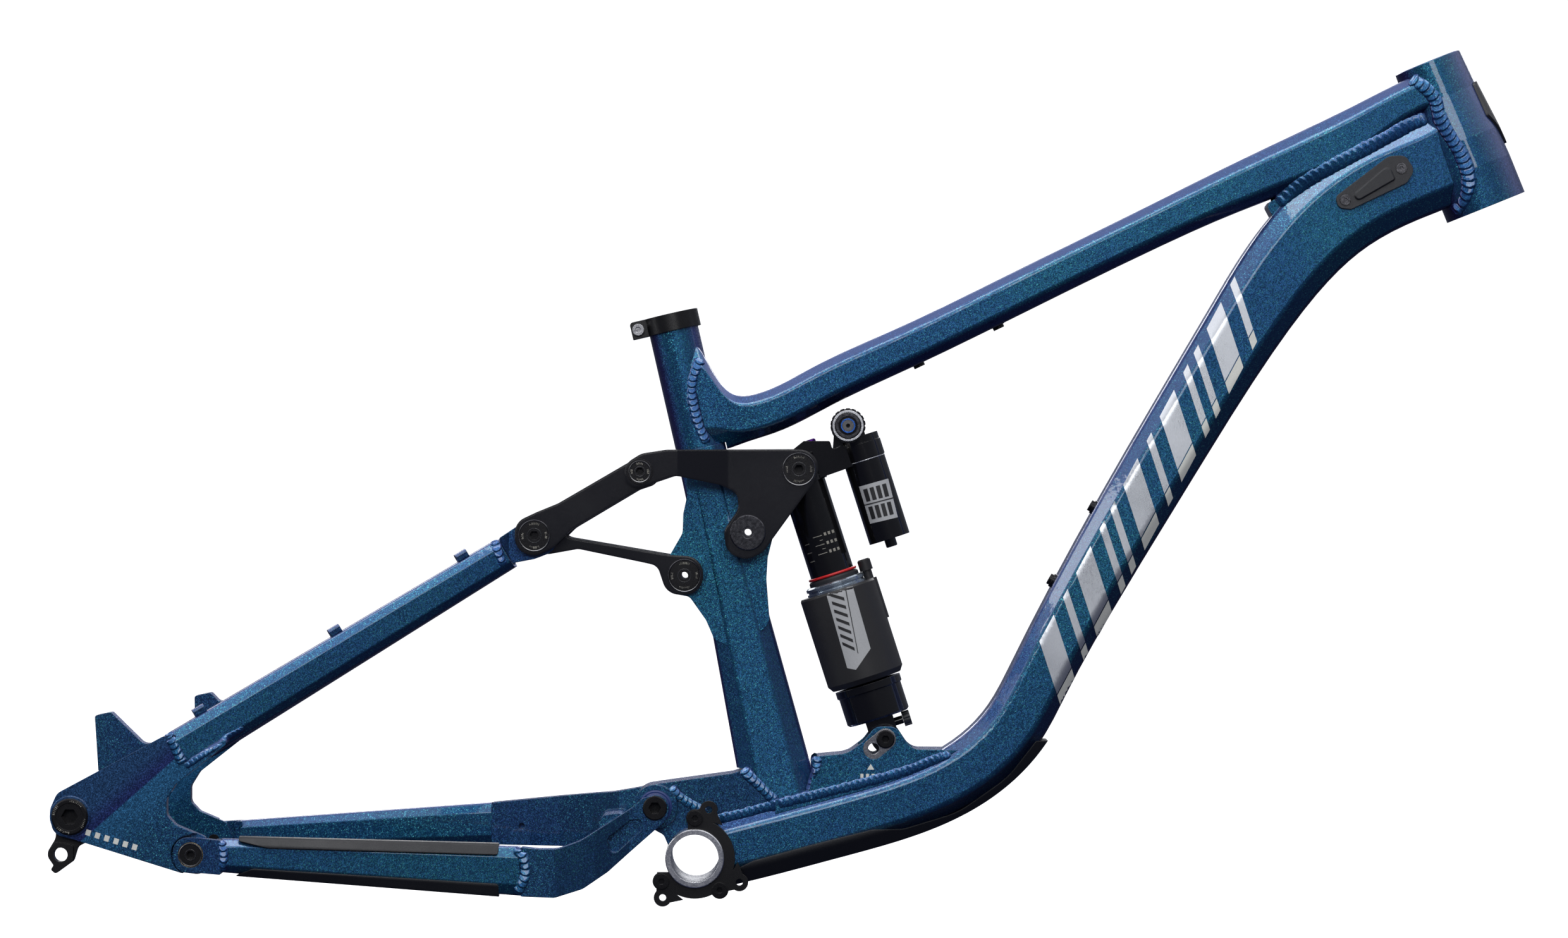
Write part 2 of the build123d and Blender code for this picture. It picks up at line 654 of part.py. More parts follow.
with BuildPart() as chainstay_yoke:
    add(right_arm_blank.part)
    add(left_arm_blank.part)
    add(yoke_bridge.part)
    bar(MAIN, 6.0, -60, 60, Mode.SUBTRACT)
    bar(MAIN, 16.6, -ARM_IN, ARM_IN, Mode.SUBTRACT)
    bar((-127.8, 18.7), 2.2, 30, 46, Mode.SUBTRACT)
chainstay_yoke.part.label = "chainstay_yoke"

with BuildPart() as main_pivot_axle:
    bar(MAIN, 6.0, -ARM_OUT, ARM_OUT)
    bar(MAIN, 8.7, -ARM_OUT - 2.4, -ARM_OUT)
    bar(MAIN, 8.7, ARM_OUT, ARM_OUT + 2.4)
    chamfer(main_pivot_axle.edges().filter_by(GeomType.CIRCLE).sort_by(Axis.Y)[0], 0.6)
    hex_socket(MAIN, 8.0, -ARM_OUT - 2.4, -ARM_OUT + 6)
main_pivot_axle.part.label = "main_pivot_axle"


def stay_tube(start, end, start_size, end_size, sign, wall):
    """Straight tapered tube between two points given for the drive side; sign -1 keeps that side."""
    ends = [Vector(x, -sign * y, z) for x, y, z in (start, end)]
    direction = (ends[1] - ends[0]).normalized()
    sections = []
    for centre, (half_y, half_z) in zip(ends, (start_size, end_size)):
        plane = Plane(origin=centre, x_dir=(direction.Y, -direction.X, 0), z_dir=direction)
        sections.append(
            eight_sided(plane, half_y - wall, half_z - wall, (half_y * 0.45, half_z * 0.45), 2.4)
        )
    return sections


# Stay tubes: start, end, (half width, half height) at start and end
CHAIN_RIGHT = ((-336.0, -80.5, 5.6), (-122.0, -46.5, -8.1), (8.0, 12.0), (7.2, 17.8))
CHAIN_LEFT = ((-336.0, -80.5, 9.5), (-148.0, -46.5, 20.5), (8.0, 11.0), (7.2, 15.3))
SEAT_STAY = ((-365.6, -80.5, 80.0), (-137.6, -33.0, 219.0), (8.2, 14.8), (7.0, 11.8))

YOKE_END_RIGHT, YOKE_END_LEFT = -125.0, -150.0
with BuildPart() as chainstay_right:
    loft(stay_tube(*CHAIN_RIGHT, -1, 0))
    loft(stay_tube(*CHAIN_RIGHT, -1, 1.6), mode=Mode.SUBTRACT)
    with Locations((YOKE_END_RIGHT + 30, 0, 0)):
        Box(60, 200, 140, mode=Mode.SUBTRACT)
chainstay_right.part.label = "chainstay_right"

with BuildPart() as chainstay_left:
    loft(stay_tube(*CHAIN_LEFT, 1, 0))
    loft(stay_tube(*CHAIN_LEFT, 1, 1.6), mode=Mode.SUBTRACT)
    with Locations((YOKE_END_LEFT + 30, 0, 0)):
        Box(60, 200, 140, mode=Mode.SUBTRACT)
chainstay_left.part.label = "chainstay_left"

EYE_NEAR, EYE_FAR = HORST_SPLIT + 0.3, 88.6
horst_end_right_corners = [
    (-335.6, 16.6, 1),
    (-352, 18.5, 8),
    (-369.2, 19, 10),
    (-369.2, -6, 10),
    (-352, -6.6, 8),
    (-335.6, -8, 1),
]
horst_end_left_corners = [
    (-335.6, 20.4, 1),
    (-352, 19.5, 8),
    (-369.2, 19, 10),
    (-369.2, -6, 10),
    (-352, -5, 8),
    (-335.6, -1.4, 1),
]
HORST_PIN_R = 4.0
with BuildPart() as horst_end_right:
    extrude(outline(-EYE_NEAR, horst_end_right_corners), amount=EYE_FAR - EYE_NEAR)
    extrude(outline(-72.6, [(-335.6, 16.6, 1), (-341, 17, 2), (-341, -7.4, 2), (-335.6, -8, 1)]), amount=14)
    loft(stay_tube(*CHAIN_RIGHT, -1, 0), mode=Mode.SUBTRACT)
    bar(HORST, 9.0, -EYE_FAR, -EYE_NEAR - 1, Mode.SUBTRACT)
    bar(HORST, HORST_PIN_R + 2.5, -EYE_FAR, -EYE_NEAR, Mode.SUBTRACT)
horst_end_right.part.label = "horst_end_right"

with BuildPart() as horst_end_left:
    extrude(outline(EYE_FAR, horst_end_left_corners), amount=EYE_FAR - EYE_NEAR)
    extrude(outline(86.6, [(-335.6, 20.4, 1), (-341, 20, 2), (-341, -2, 2), (-335.6, -1.4, 1)]), amount=14)
    loft(stay_tube(*CHAIN_LEFT, 1, 0), mode=Mode.SUBTRACT)
    bar(HORST, 9.0, EYE_NEAR + 1, EYE_FAR, Mode.SUBTRACT)
    bar(HORST, HORST_PIN_R + 2.5, EYE_NEAR, EYE_FAR, Mode.SUBTRACT)
horst_end_left.part.label = "horst_end_left"

with BuildPart() as horst_bearings:
    for sign in (-1, 1):
        bar(HORST, 9.0, sign * (EYE_NEAR + 1), sign * (EYE_NEAR + 6))
        bar(HORST, HORST_PIN_R + RUN_GAP, sign * (EYE_NEAR + 1), sign * (EYE_NEAR + 6), Mode.SUBTRACT)
horst_bearings.part.label = "horst_bearings"


with BuildPart() as chainstay_sleeve:
    loft(stay_tube(*CHAIN_RIGHT, -1, -1.8))
    loft(stay_tube(*CHAIN_RIGHT, -1, 0), mode=Mode.SUBTRACT)

# Rubber strips along the upper and lower edge of the right chainstay
GUARD_STRIPS = (
    [(-323, 16, 1.5), (-302, 10.7, 6), (-140, 4.3, 2), (-140, 40, 1), (-323, 40, 1)],
    [(-325, -8.5, 1), (-313, -3.7, 4), (-140, -16.6, 2), (-140, -50, 1), (-325, -50, 1)],
)
with BuildPart() as chainstay_guards:
    for strip in GUARD_STRIPS:
        extrude(outline(-30, strip), amount=70)
    add(chainstay_sleeve.part, mode=Mode.INTERSECT)
chainstay_guards.part.label = "chainstay_guards"

# ---------------------------------------------------------------- seatstay with dropouts
dropout_corners = [
    (-457.2, 38, 12),
    (-452, 50, 9),
    (-377.5, 90, 2),
    (-368, 92.5, 2),
    (-362, 71, 2),
    (-345, 81, 3),
    (-332, 88.5, 1),
    (-332, 84.5, 1),
    (-367.5, 56.5, 6),
    (-374, 46, 6),
    (-374, 34.5, 6),
    (-367.5, 27.5, 5),
    (-347.5, 19, 3),
    (-341.5, 5, 10),
    (-348, -8.6, 9),
    (-364, -6.6, 8),
    (-440, 17.2, 12),
    (-455, 21, 10),
]
EYE_RECESS_R = 14.2
HANGER_SEAT = 80.2
hanger_corners = [
    (-456, 40, 11),
    (-444, 47.5, 11),
    (-430, 40, 11),
    (-430, 15.5, 2),
    (-438, 11.5, 5),
    (-441, 1.5, 4),
    (-453.5, -7.6, 2),
    (-457, -4.6, 1.5),
    (-455, -1.5, 1),
    (-460.5, 6.5, 6),
    (-453.5, 18, 10),
    (-454, 26, 3),
]
HANGER_HOLE = (-450.0, 6.0)
HANGER_HOLE_R = 5.0
AXLE_R = 6.0
HUB_SEAT = 74.0           # the hub's end faces: 148 mm apart
front_relief = [(-343, 24, 3), (-325, 24, 1), (-325, -30, 1), (-343, -30, 1)]
with BuildPart() as dropout_right:
    extrude(outline(-DROPOUT_IN, dropout_corners), amount=DROPOUT_OUT - DROPOUT_IN)
    extrude(outline(-DROPOUT_IN, front_relief), amount=DROPOUT_OUT - DROPOUT_IN, mode=Mode.SUBTRACT)
    bar(HORST, EYE_RECESS_R, -DROPOUT_OUT, -HORST_SPLIT, Mode.SUBTRACT)
    recess = [(-361, 22, 6), (-330, 20, 1), (-330, -30, 1), (-357, -30, 1)]
    extrude(outline(-HORST_SPLIT, recess), amount=12, mode=Mode.SUBTRACT)
    extrude(outline(-DROPOUT_IN, hanger_corners), amount=HANGER_SEAT - DROPOUT_IN, mode=Mode.SUBTRACT)
    bar(AXLE, 14.4, -DROPOUT_OUT - 1.2, -DROPOUT_OUT)
    bar(AXLE, AXLE_R, -DROPOUT_OUT - 1.2, -DROPOUT_IN, Mode.SUBTRACT)
    bar(HORST, HORST_PIN_R, -DROPOUT_OUT, -DROPOUT_IN, Mode.SUBTRACT)
    loft(stay_tube(*SEAT_STAY, -1, 0), mode=Mode.SUBTRACT)
dropout_right.part.label = "dropout_right"

with BuildPart() as dropout_left:
    extrude(outline(DROPOUT_OUT, dropout_corners), amount=DROPOUT_OUT - DROPOUT_IN)
    extrude(outline(DROPOUT_OUT, front_relief), amount=DROPOUT_OUT - DROPOUT_IN, mode=Mode.SUBTRACT)
    bar(HORST, EYE_RECESS_R, HORST_SPLIT, DROPOUT_OUT, Mode.SUBTRACT)
    extrude(outline(DROPOUT_OUT, recess), amount=DROPOUT_OUT - HORST_SPLIT, mode=Mode.SUBTRACT)
    bar(AXLE, 14.4, DROPOUT_OUT, DROPOUT_OUT + 1.2)
    bar(AXLE, 10.5, HUB_SEAT, DROPOUT_IN)
    bar(AXLE, AXLE_R, HUB_SEAT, DROPOUT_OUT + 1.2, Mode.SUBTRACT)
    bar(HORST, HORST_PIN_R, DROPOUT_IN, DROPOUT_OUT, Mode.SUBTRACT)
    loft(stay_tube(*SEAT_STAY, 1, 0), mode=Mode.SUBTRACT)
dropout_left.part.label = "dropout_left"

with BuildPart() as derailleur_hanger:
    extrude(outline(-HUB_SEAT, hanger_corners), amount=HANGER_SEAT - HUB_SEAT)
    lobe_corners = [(-453.6, 15, 2), (-441, 13, 2), (-441, 1.5, 4), (-453.5, -7.6, 2), (-457, -4.6, 1.5),
                    (-455, -1.5, 1), (-460.5, 6.5, 6)]
    extrude(outline(-HANGER_SEAT, lobe_corners), amount=3)
    bar(AXLE, AXLE_R, -90, -70, Mode.SUBTRACT)
    bar(HANGER_HOLE, HANGER_HOLE_R, -90, -70, Mode.SUBTRACT)
    add(dropout_right.part, mode=Mode.SUBTRACT)
derailleur_hanger.part.label = "derailleur_hanger"

with BuildPart() as rear_axle:
    bar(AXLE, AXLE_R, -DROPOUT_OUT - 1.2, DROPOUT_OUT + 1.2)
    bar(AXLE, 13.0, -DROPOUT_OUT - 4.4, -DROPOUT_OUT - 1.2)
    chamfer(rear_axle.edges().filter_by(GeomType.CIRCLE).sort_by(Axis.Y)[0], 1.0)
    bar(AXLE, 9.8, -DROPOUT_OUT - 4.4, -DROPOUT_OUT - 3.8, Mode.SUBTRACT)
    hex_socket(AXLE, 10.4, -DROPOUT_OUT - 4.4, -DROPOUT_OUT + 4)
    bar(AXLE, 4.0, 40, DROPOUT_OUT + 1.2, Mode.SUBTRACT)
rear_axle.part.label = "rear_axle"

with BuildPart() as seatstay_right:
    loft(stay_tube(*SEAT_STAY, -1, 0))
    loft(stay_tube(*SEAT_STAY, -1, 1.6), mode=Mode.SUBTRACT)
seatstay_right.part.label = "seatstay_right"

with BuildPart() as seatstay_left:
    loft(stay_tube(*SEAT_STAY, 1, 0))
    loft(stay_tube(*SEAT_STAY, 1, 1.6), mode=Mode.SUBTRACT)
seatstay_left.part.label = "seatstay_left"

stay_eye = [
    (-141, 230.3, 2),
    (-125, 241, 12),
    (-115, 248.5, 12),
    (-99, 240, 12),
    (-99, 222, 12),
    (-115, 215.5, 12),
    (-131, 212.5, 2),
]
eye_plan = [(-142, -EYE_OUT - 3.4), (-133.5, -EYE_OUT), (-98, -EYE_OUT), (-98, -EYE_IN), (-142, -EYE_IN)]
with BuildPart() as right_eye:
    extrude(outline(-EYE_IN, stay_eye), amount=EYE_OUT + 5 - EYE_IN)
    extrude(plan(eye_plan, 200), amount=60, mode=Mode.INTERSECT)

with BuildPart() as seatstay_eyes:
    add(right_eye.part)
    mirror(right_eye.part, about=Plane.XZ)
    bar(STAY, 8.0, -50, 50, Mode.SUBTRACT)
    loft(stay_tube(*SEAT_STAY, -1, 0), mode=Mode.SUBTRACT)
    loft(stay_tube(*SEAT_STAY, 1, 0), mode=Mode.SUBTRACT)
seatstay_eyes.part.label = "seatstay_eyes"

with BuildPart() as seatstay_bearings:
    for sign in (-1, 1):
        bar(STAY, 8.0, sign * EYE_IN, sign * EYE_OUT)
        bar(STAY, 5.0, sign * EYE_IN, sign * EYE_OUT, Mode.SUBTRACT)
seatstay_bearings.part.label = "seatstay_bearings"

with BuildPart() as horst_bolts:
    for sign in (-1, 1):
        bar(HORST, HORST_PIN_R, sign * DROPOUT_IN, sign * (EYE_NEAR + 6.3))
        bar(HORST, 8.4, sign * (EYE_NEAR + 6.3), sign * (EYE_FAR + 0.6))
    hex_socket(HORST, 5.0, -EYE_FAR - 0.6, -EYE_NEAR - 4)
horst_bolts.part.label = "horst_bolts"

# Post mount for the rear brake calliper on the left dropout, 74 mm between the posts
rear_post = [
    (-441.8, 57, 1),
    (-444.4, 98.3, 2),
    (-432.4, 100.8, 2),
    (-407.5, 76.5, 8),
    (-396, 80, 1),
    (-400, 70, 1),
]
front_post = [
    (-370.4, 86, 1),
    (-370.8, 112.8, 2),
    (-359, 115.3, 2),
    (-353, 109, 5),
    (-344, 108, 1),
    (-350, 92, 1),
]
POST_TILT = 11.7
POSTS = ((-437.8, 99.6), (-365.3, 114.4))
POST_HOLE_R = 2.5
with BuildPart() as brake_mount:
    extrude(outline(87, rear_post), amount=16)
    extrude(outline(87, front_post), amount=16)
    with BuildSketch(side(90)) as post_pocket:
        with BuildLine():
            FilletPolyline((-438.5, 64), (-440, 86), (-430, 88.5), (-412, 71), radius=3, close=True)
        make_face()
    extrude(post_pocket.sketch, amount=8, mode=Mode.SUBTRACT)
    post_normal = (-sin(radians(POST_TILT)), 0, cos(radians(POST_TILT)))
    for x, z in POSTS:
        rod(Plane(origin=(x, 77, z), x_dir=(0, 1, 0), z_dir=post_normal), POST_HOLE_R, -14, 5, Mode.SUBTRACT)
    add(dropout_left.part, mode=Mode.SUBTRACT)
    loft(stay_tube(*SEAT_STAY, 1, 0), mode=Mode.SUBTRACT)
brake_mount.part.label = "brake_mount"

# Cable guides on the outer face of the right seatstay
stay_direction = (Vector(*SEAT_STAY[1]) - Vector(*SEAT_STAY[0])).normalized()
with BuildPart() as cable_guides:
    for travel in (22, 134, 240):
        base = Vector(*SEAT_STAY[0]) + stay_direction * travel
        half_height = 14.8 - 3.0 * travel / 268
        guide = Plane(origin=base, x_dir=(stay_direction.Y, -stay_direction.X, 0), z_dir=stay_direction)
        with BuildSketch(guide) as loop:
            with Locations((0, -half_height - 2.2)):
                RectangleRounded(8, 7, 2)
            with Locations((0, -half_height - 2.6)):
                Circle(2.1, mode=Mode.SUBTRACT)
        extrude(loop.sketch, amount=9)
    loft(stay_tube(*SEAT_STAY, -1, 0), mode=Mode.SUBTRACT)
    add(dropout_right.part, mode=Mode.SUBTRACT)
cable_guides.part.label = "cable_guides"

# ---------------------------------------------------------------- lower link
link_corners = [
    (-128.5, 226, 12),
    (-127, 246, 12),
    (-104, 246, 12),
    (-92, 231, 8),
    (-18, 218.3, 10),
    (6, 217, 13),
    (6, 190, 13),
    (-20, 189.5, 12),
    (-27, 210.5, 8),
    (-36, 212.6, 8),
    (-84, 222.6, 10),
    (-104, 219, 12),
    (-121, 218, 12),
]
link_bridge = [(-82, 222.4, 2), (-82, 228.6, 2), (-56, 224, 2), (-56, 217.2, 2)]
with BuildPart() as lower_link:
    for y_from in (-LINK_IN, LINK_OUT):
        extrude(outline(y_from, link_corners), amount=LINK_OUT - LINK_IN)
    extrude(outline(LINK_IN, link_bridge), amount=2 * LINK_IN)
    bar(LINK, 8.0, -LINK_OUT, LINK_OUT, Mode.SUBTRACT)
lower_link.part.label = "lower_link"

with BuildPart() as lower_link_axle:
    for y_from in (-LINK_OUT, LINK_IN):
        bar(LINK, 8.0, y_from, y_from + LINK_OUT - LINK_IN)
    bar(LINK, PIVOT_R, -LINK_IN, LINK_IN)
    for sign in (-1, 1):
        bar(LINK, 11.4, sign * LINK_OUT, sign * (LINK_OUT + 2.2))
    chamfer(lower_link_axle.edges().filter_by(GeomType.CIRCLE).sort_by(Axis.Y)[0], 0.7)
    bar(LINK, 2.6, -40, 40, Mode.SUBTRACT)
lower_link_axle.part.label = "lower_link_axle"

# ---------------------------------------------------------------- rocker
rocker_corners = [
    (-51.5, 283, 11),
    (-38, 291.4, 14),
    (-20, 294.2, 20),
    (72, 294.6, 14),
    (91, 293.5, 13.5),
    (88, 274, 13),
    (49.8, 221.2, 13),
    (38, 214.5, 13),
    (23, 220, 12),
    (21, 236, 9),
    (31.8, 252, 10),
    (30.5, 263.5, 9),
    (18, 269, 12),
    (-14, 275.6, 14),
    (-31, 269.8, 9),
    (-47, 265, 9),
]
rocker_plan = [
    (-60, -HORN_IN),
    (-24, -HORN_IN),
    (4, -ROCK_IN),
    (100, -ROCK_IN),
    (100, -ROCK_OUT),
    (24, -ROCK_OUT),
    (-12, -HORN_OUT),
    (-60, -HORN_OUT),
]
with BuildPart() as rocker_right:
    extrude(outline(-ROCK_IN, rocker_corners), amount=HORN_OUT - ROCK_IN)
    extrude(plan(rocker_plan, 200), amount=120, mode=Mode.INTERSECT)
    bar(ROCK, 8.0, -HORN_OUT, -ROCK_IN, Mode.SUBTRACT)
    bar(SHOCK_TOP, 5.0, -HORN_OUT, -ROCK_IN, Mode.SUBTRACT)
    bar(DOG, 5.0, -HORN_OUT, -ROCK_IN, Mode.SUBTRACT)
rocker_right.part.label = "rocker_right"

with BuildPart() as rocker_left:
    mirror(rocker_right.part, about=Plane.XZ)
rocker_left.part.label = "rocker_left"

with BuildPart() as rocker_axle:
    bar(ROCK, PIVOT_R, -ROCK_IN, ROCK_IN)
    for sign in (-1, 1):
        bar(ROCK, 8.0, sign * ROCK_IN, sign * ROCK_OUT)
        bar(ROCK, 12.8, sign * ROCK_OUT, sign * (ROCK_OUT + 2.0))
    chamfer(rocker_axle.edges().filter_by(GeomType.CIRCLE).sort_by(Axis.Y)[0], 0.6)
    bar(ROCK, 4.2, -ROCK_OUT - 2, -ROCK_OUT - 1.2, Mode.SUBTRACT)
    bar(ROCK, 2.7, -50, 50, Mode.SUBTRACT)
rocker_axle.part.label = "rocker_axle"

with BuildPart() as dog_pins:
    for sign in (-1, 1):
        bar(DOG, 5.0, sign * DOG_IN, sign * HORN_OUT)
        bar(DOG, 9.2, sign * HORN_OUT, sign * (HORN_OUT + 1.6))
    hex_socket(DOG, 5.0, -HORN_OUT - 1.6, -HORN_OUT + 3)
dog_pins.part.label = "dog_pins"

with BuildPart() as trunnion_bolts:
    for sign in (-1, 1):
        bar(SHOCK_TOP, 5.0, sign * ROCK_IN, sign * ROCK_OUT)
        bar(SHOCK_TOP, 11.8, sign * ROCK_OUT, sign * (ROCK_OUT + 1.8))
    chamfer(trunnion_bolts.edges().filter_by(GeomType.CIRCLE).sort_by(Axis.Y)[0], 0.6)
    hex_socket(SHOCK_TOP, 6.0, -ROCK_OUT - 1.8, -ROCK_IN - 2)
trunnion_bolts.part.label = "trunnion_bolts"

# ---------------------------------------------------------------- dogbones
dogbone_corners = [
    (-129.0, 222, 12),
    (-129.0, 242, 12),
    (-113, 249.5, 12),
    (-98, 255.6, 20),
    (-44, 287, 9),
    (-39, 291.5, 8),
    (-26.5, 287, 10),
    (-27.5, 269.5, 9),
    (-41, 265, 8),
    (-88, 237, 14),
    (-101, 224, 10),
    (-114, 217.5, 12),
]
with BuildPart() as dogbones:
    for y_from in (-DOG_IN, DOG_OUT):
        extrude(outline(y_from, dogbone_corners), amount=DOG_OUT - DOG_IN)
    bar(STAY, 5.0, -50, 50, Mode.SUBTRACT)
    bar(DOG, 5.0 + RUN_GAP, -50, 50, Mode.SUBTRACT)
dogbones.part.label = "dogbones"

with BuildPart() as dogbone_bolts:
    for sign in (-1, 1):
        bar(STAY, 5.0, sign * DOG_IN, sign * DOG_OUT)
        bar(STAY, 11.0, sign * DOG_OUT, sign * (DOG_OUT + 2.0))
    chamfer(dogbone_bolts.edges().filter_by(GeomType.CIRCLE).sort_by(Axis.Y)[0], 0.6)
    hex_socket(STAY, 6.0, -DOG_OUT - 2, -DOG_OUT + 3)
dogbone_bolts.part.label = "dogbone_bolts"

# ---------------------------------------------------------------- shock: air can side
VALVE_OFFSET = 24.4
with BuildPart() as air_can:
    turned(shock_side, [(0, CAN_TOP), (CAN_R - 0.8, CAN_TOP), (CAN_R, CAN_TOP + 1.5), (CAN_R, CAN_END - 1),
                        (24.6, CAN_END + 4.3), (0, CAN_END + 4.3)])
    valve_axis = Plane(origin=shock_axis.origin + shock_axis.x_dir * VALVE_OFFSET,
                       x_dir=shock_axis.x_dir, z_dir=shock_axis.z_dir)
    rod(valve_axis, 5.4, CAN_TOP, 122)
    rod(valve_axis, 3.4, 84.9, CAN_TOP)
    turned(shock_side, [(0, 80), (BODY_R + 0.1, 80), (BODY_R + 0.1, 97), (25.6, 97), (25.6, CAN_END + 4.3),
                        (0, CAN_END + 4.3)], Mode.SUBTRACT)
air_can.part.label = "air_can"

with BuildPart() as can_collar:
    turned(shock_side, [(BODY_R + 0.1, 85), (20.4, 85), (22, 86), (22, 88), (20.8, 88.4), (20.8, 89.4),
                        (22, 89.8), (22, CAN_TOP), (BODY_R + 0.1, CAN_TOP)])
    rod(valve_axis, 3.8, 84, CAN_TOP + 1, Mode.SUBTRACT)
can_collar.part.label = "can_collar"

with BuildPart() as wiper_seal:
    turned(shock_side, [(BODY_R + 0.06, 81.2), (17.4, 81.2), (18.4, 82.4), (18.4, 85), (BODY_R + 0.06, 85)])
wiper_seal.part.label = "wiper_seal"

with BuildPart() as o_ring:
    with BuildSketch(shock_side) as ring_section:
        with Locations((BODY_R + 1.06, 79.9)):
            Circle(1.0)
    revolve(ring_section.sketch, axis=Axis(shock_side.origin, shock_side.y_dir))
o_ring.part.label = "o_ring"

with BuildPart() as valve_cap:
    rod(valve_axis, 4.8, 76.4, 84.9)
    chamfer(valve_cap.edges().filter_by(GeomType.CIRCLE).sort_by(Axis.Z)[-1], 0.9)
valve_cap.part.label = "valve_cap"

KNOB_ALONG = 195.8
with BuildPart() as lower_can:
    turned(shock_side, [(0, CAN_END + 4.3), (24.4, CAN_END + 4.3), (24.4, CAN_END + 9.3),
                        (23.3, CAN_END + 10), (23.3, LOWER_CAN_END - 1.4), (21.8, LOWER_CAN_END),
                        (0, LOWER_CAN_END)])
    turned(shock_side, [(0, CAN_END), (21, CAN_END), (21, 182), (0, 182)], Mode.SUBTRACT)
    with BuildSketch(shock_axis.offset(LOWER_CAN_END)) as stem:
        Rectangle(20.6, 24)
    extrude(stem.sketch, amount=SHOCK_LENGTH - LOWER_CAN_END)
    bar(SHOCK_BASE, 10.3, -EAR_IN + 0.4, EAR_IN - 0.4)
    bar(SHOCK_BASE, 5.0 + RUN_GAP, -20, 20, Mode.SUBTRACT)
    knob_axis = Plane(origin=shock_axis.origin + shock_axis.z_dir * KNOB_ALONG, x_dir=(0, 1, 0),
                      z_dir=shock_axis.x_dir)
    rod(knob_axis, 3.0, 9, 16.5)
lower_can.part.label = "lower_can"

with BuildPart() as rebound_knob:
    with BuildSketch(knob_axis.offset(16.6)) as knob_shape:
        Circle(5.6)
        with PolarLocations(5.9, 8):
            Circle(1.1, mode=Mode.SUBTRACT)
        RegularPolygon(1.3, 6, major_radius=False, mode=Mode.SUBTRACT)
    extrude(knob_shape.sketch, amount=5.6)
rebound_knob.part.label = "rebound_knob"

# ---------------------------------------------------------------- shock: damper side
RESERVOIR_OFFSET = 47.3
RESERVOIR_R = 15.2
RESERVOIR_END = 68.2
DIAL = (110.5, 311.5)
DIAL_NEAR = -18.0
with BuildPart() as shock_head:
    bar(SHOCK_TOP, 11.5, -TRUNNION_HALF, TRUNNION_HALF)
    head_corners = [(62, 283, 3), (71.5, 295, 2), (78.5, 300.6, 1.5), (97.5, 300.6, 1.5), (99.5, 294, 2),
                    (105, 297, 2), (128, 296, 2), (128, 288, 2), (107, 279.6, 2), (94.5, 275.2, 2),
                    (80, 270, 2), (62, 270, 3)]
    extrude(outline(12, head_corners), amount=24)
    rod(shock_axis, 17.8, -9, 11.5)
    bar(DIAL, 12.2, DIAL_NEAR + 0.3, 16)
    tower_corners = [(101, 312, 2), (99.5, 292, 2), (118, 286, 2), (126, 292, 2), (121.5, 312, 2)]
    extrude(outline(10, tower_corners), amount=20)
    reservoir_axis = Plane(origin=shock_axis.origin + shock_axis.x_dir * RESERVOIR_OFFSET,
                           x_dir=shock_axis.x_dir, z_dir=shock_axis.z_dir)
    rod(reservoir_axis, RESERVOIR_R + 0.5, -4.0, 7.5)
    rod(reservoir_axis, RESERVOIR_R, -9.4, -4.0)
    rod(reservoir_axis, RESERVOIR_R, 7.5, 40, Mode.SUBTRACT)
shock_head.part.label = "shock_head"

with BuildPart() as damper_body:
    rod(shock_axis, BODY_R, 11.5, 122)
    rod(shock_axis, BODY_R - 2.5, 14, 122, Mode.SUBTRACT)
    rod(shock_axis, BODY_R - 2.5, 118, 122)
damper_body.part.label = "damper_body"

with BuildPart() as reservoir:
    rod(reservoir_axis, RESERVOIR_R, 7.5, RESERVOIR_END)
    rod(reservoir_axis, RESERVOIR_R - 2, 7.5, RESERVOIR_END - 2.6, Mode.SUBTRACT)
    rod(reservoir_axis, 4.2, RESERVOIR_END, RESERVOIR_END + 5.9)
    chamfer(reservoir.edges().filter_by(GeomType.CIRCLE).sort_by(Axis.Z)[0], 0.6)
reservoir.part.label = "reservoir"

with BuildPart() as compression_dial:
    with BuildSketch(side(DIAL_NEAR)) as dial_shape:
        with Locations(DIAL):
            Circle(12.7)
            with PolarLocations(12.9, 18):
                Circle(0.8, mode=Mode.SUBTRACT)
    extrude(dial_shape.sketch, amount=6)
    bar(DIAL, 11.4, DIAL_NEAR - 7.2, DIAL_NEAR - 6)
    bar(DIAL, 9.4, DIAL_NEAR - 8.2, DIAL_NEAR - 7.2)
    bar(DIAL, 5.3, DIAL_NEAR - 9.6, DIAL_NEAR - 8.2)
    bar(DIAL, 1.3, DIAL_NEAR - 9.6, DIAL_NEAR - 4, Mode.SUBTRACT)
compression_dial.part.label = "compression_dial"

# ---------------------------------------------------------------- export
nodes = [
    head_tube, top_tube, down_tube, seat_tube, seat_mast, pivot_housing, shock_mount, bb_shell,
    iscg_plate, iscg_bolts, seat_clamp, seat_clamp_bolt, down_tube_guard, cable_port_cover,
    cover_screws, bottle_bosses, head_badge, flip_chips, shock_bolt, main_pivot_bearings, mast_bearings,
    chainstay_yoke, main_pivot_axle, chainstay_right, chainstay_left, horst_end_right,
    horst_end_left, horst_bearings, chainstay_guards,
    dropout_right, dropout_left, derailleur_hanger, rear_axle, seatstay_right, seatstay_left,
    seatstay_eyes, seatstay_bearings, horst_bolts, brake_mount, cable_guides,
    lower_link, lower_link_axle,
    rocker_right, rocker_left, rocker_axle, dog_pins, trunnion_bolts,
    dogbones, dogbone_bolts,
    air_can, can_collar, wiper_seal, o_ring, valve_cap, lower_can, rebound_knob,
    shock_head, damper_body, reservoir, compression_dial,
]
for node in nodes:
    export_step(node.part, f"parts/{node.part.label}.step")
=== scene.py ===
"""Looks of the mountain bike frame: paint, welds, graphics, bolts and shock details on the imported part."""
import math
import random

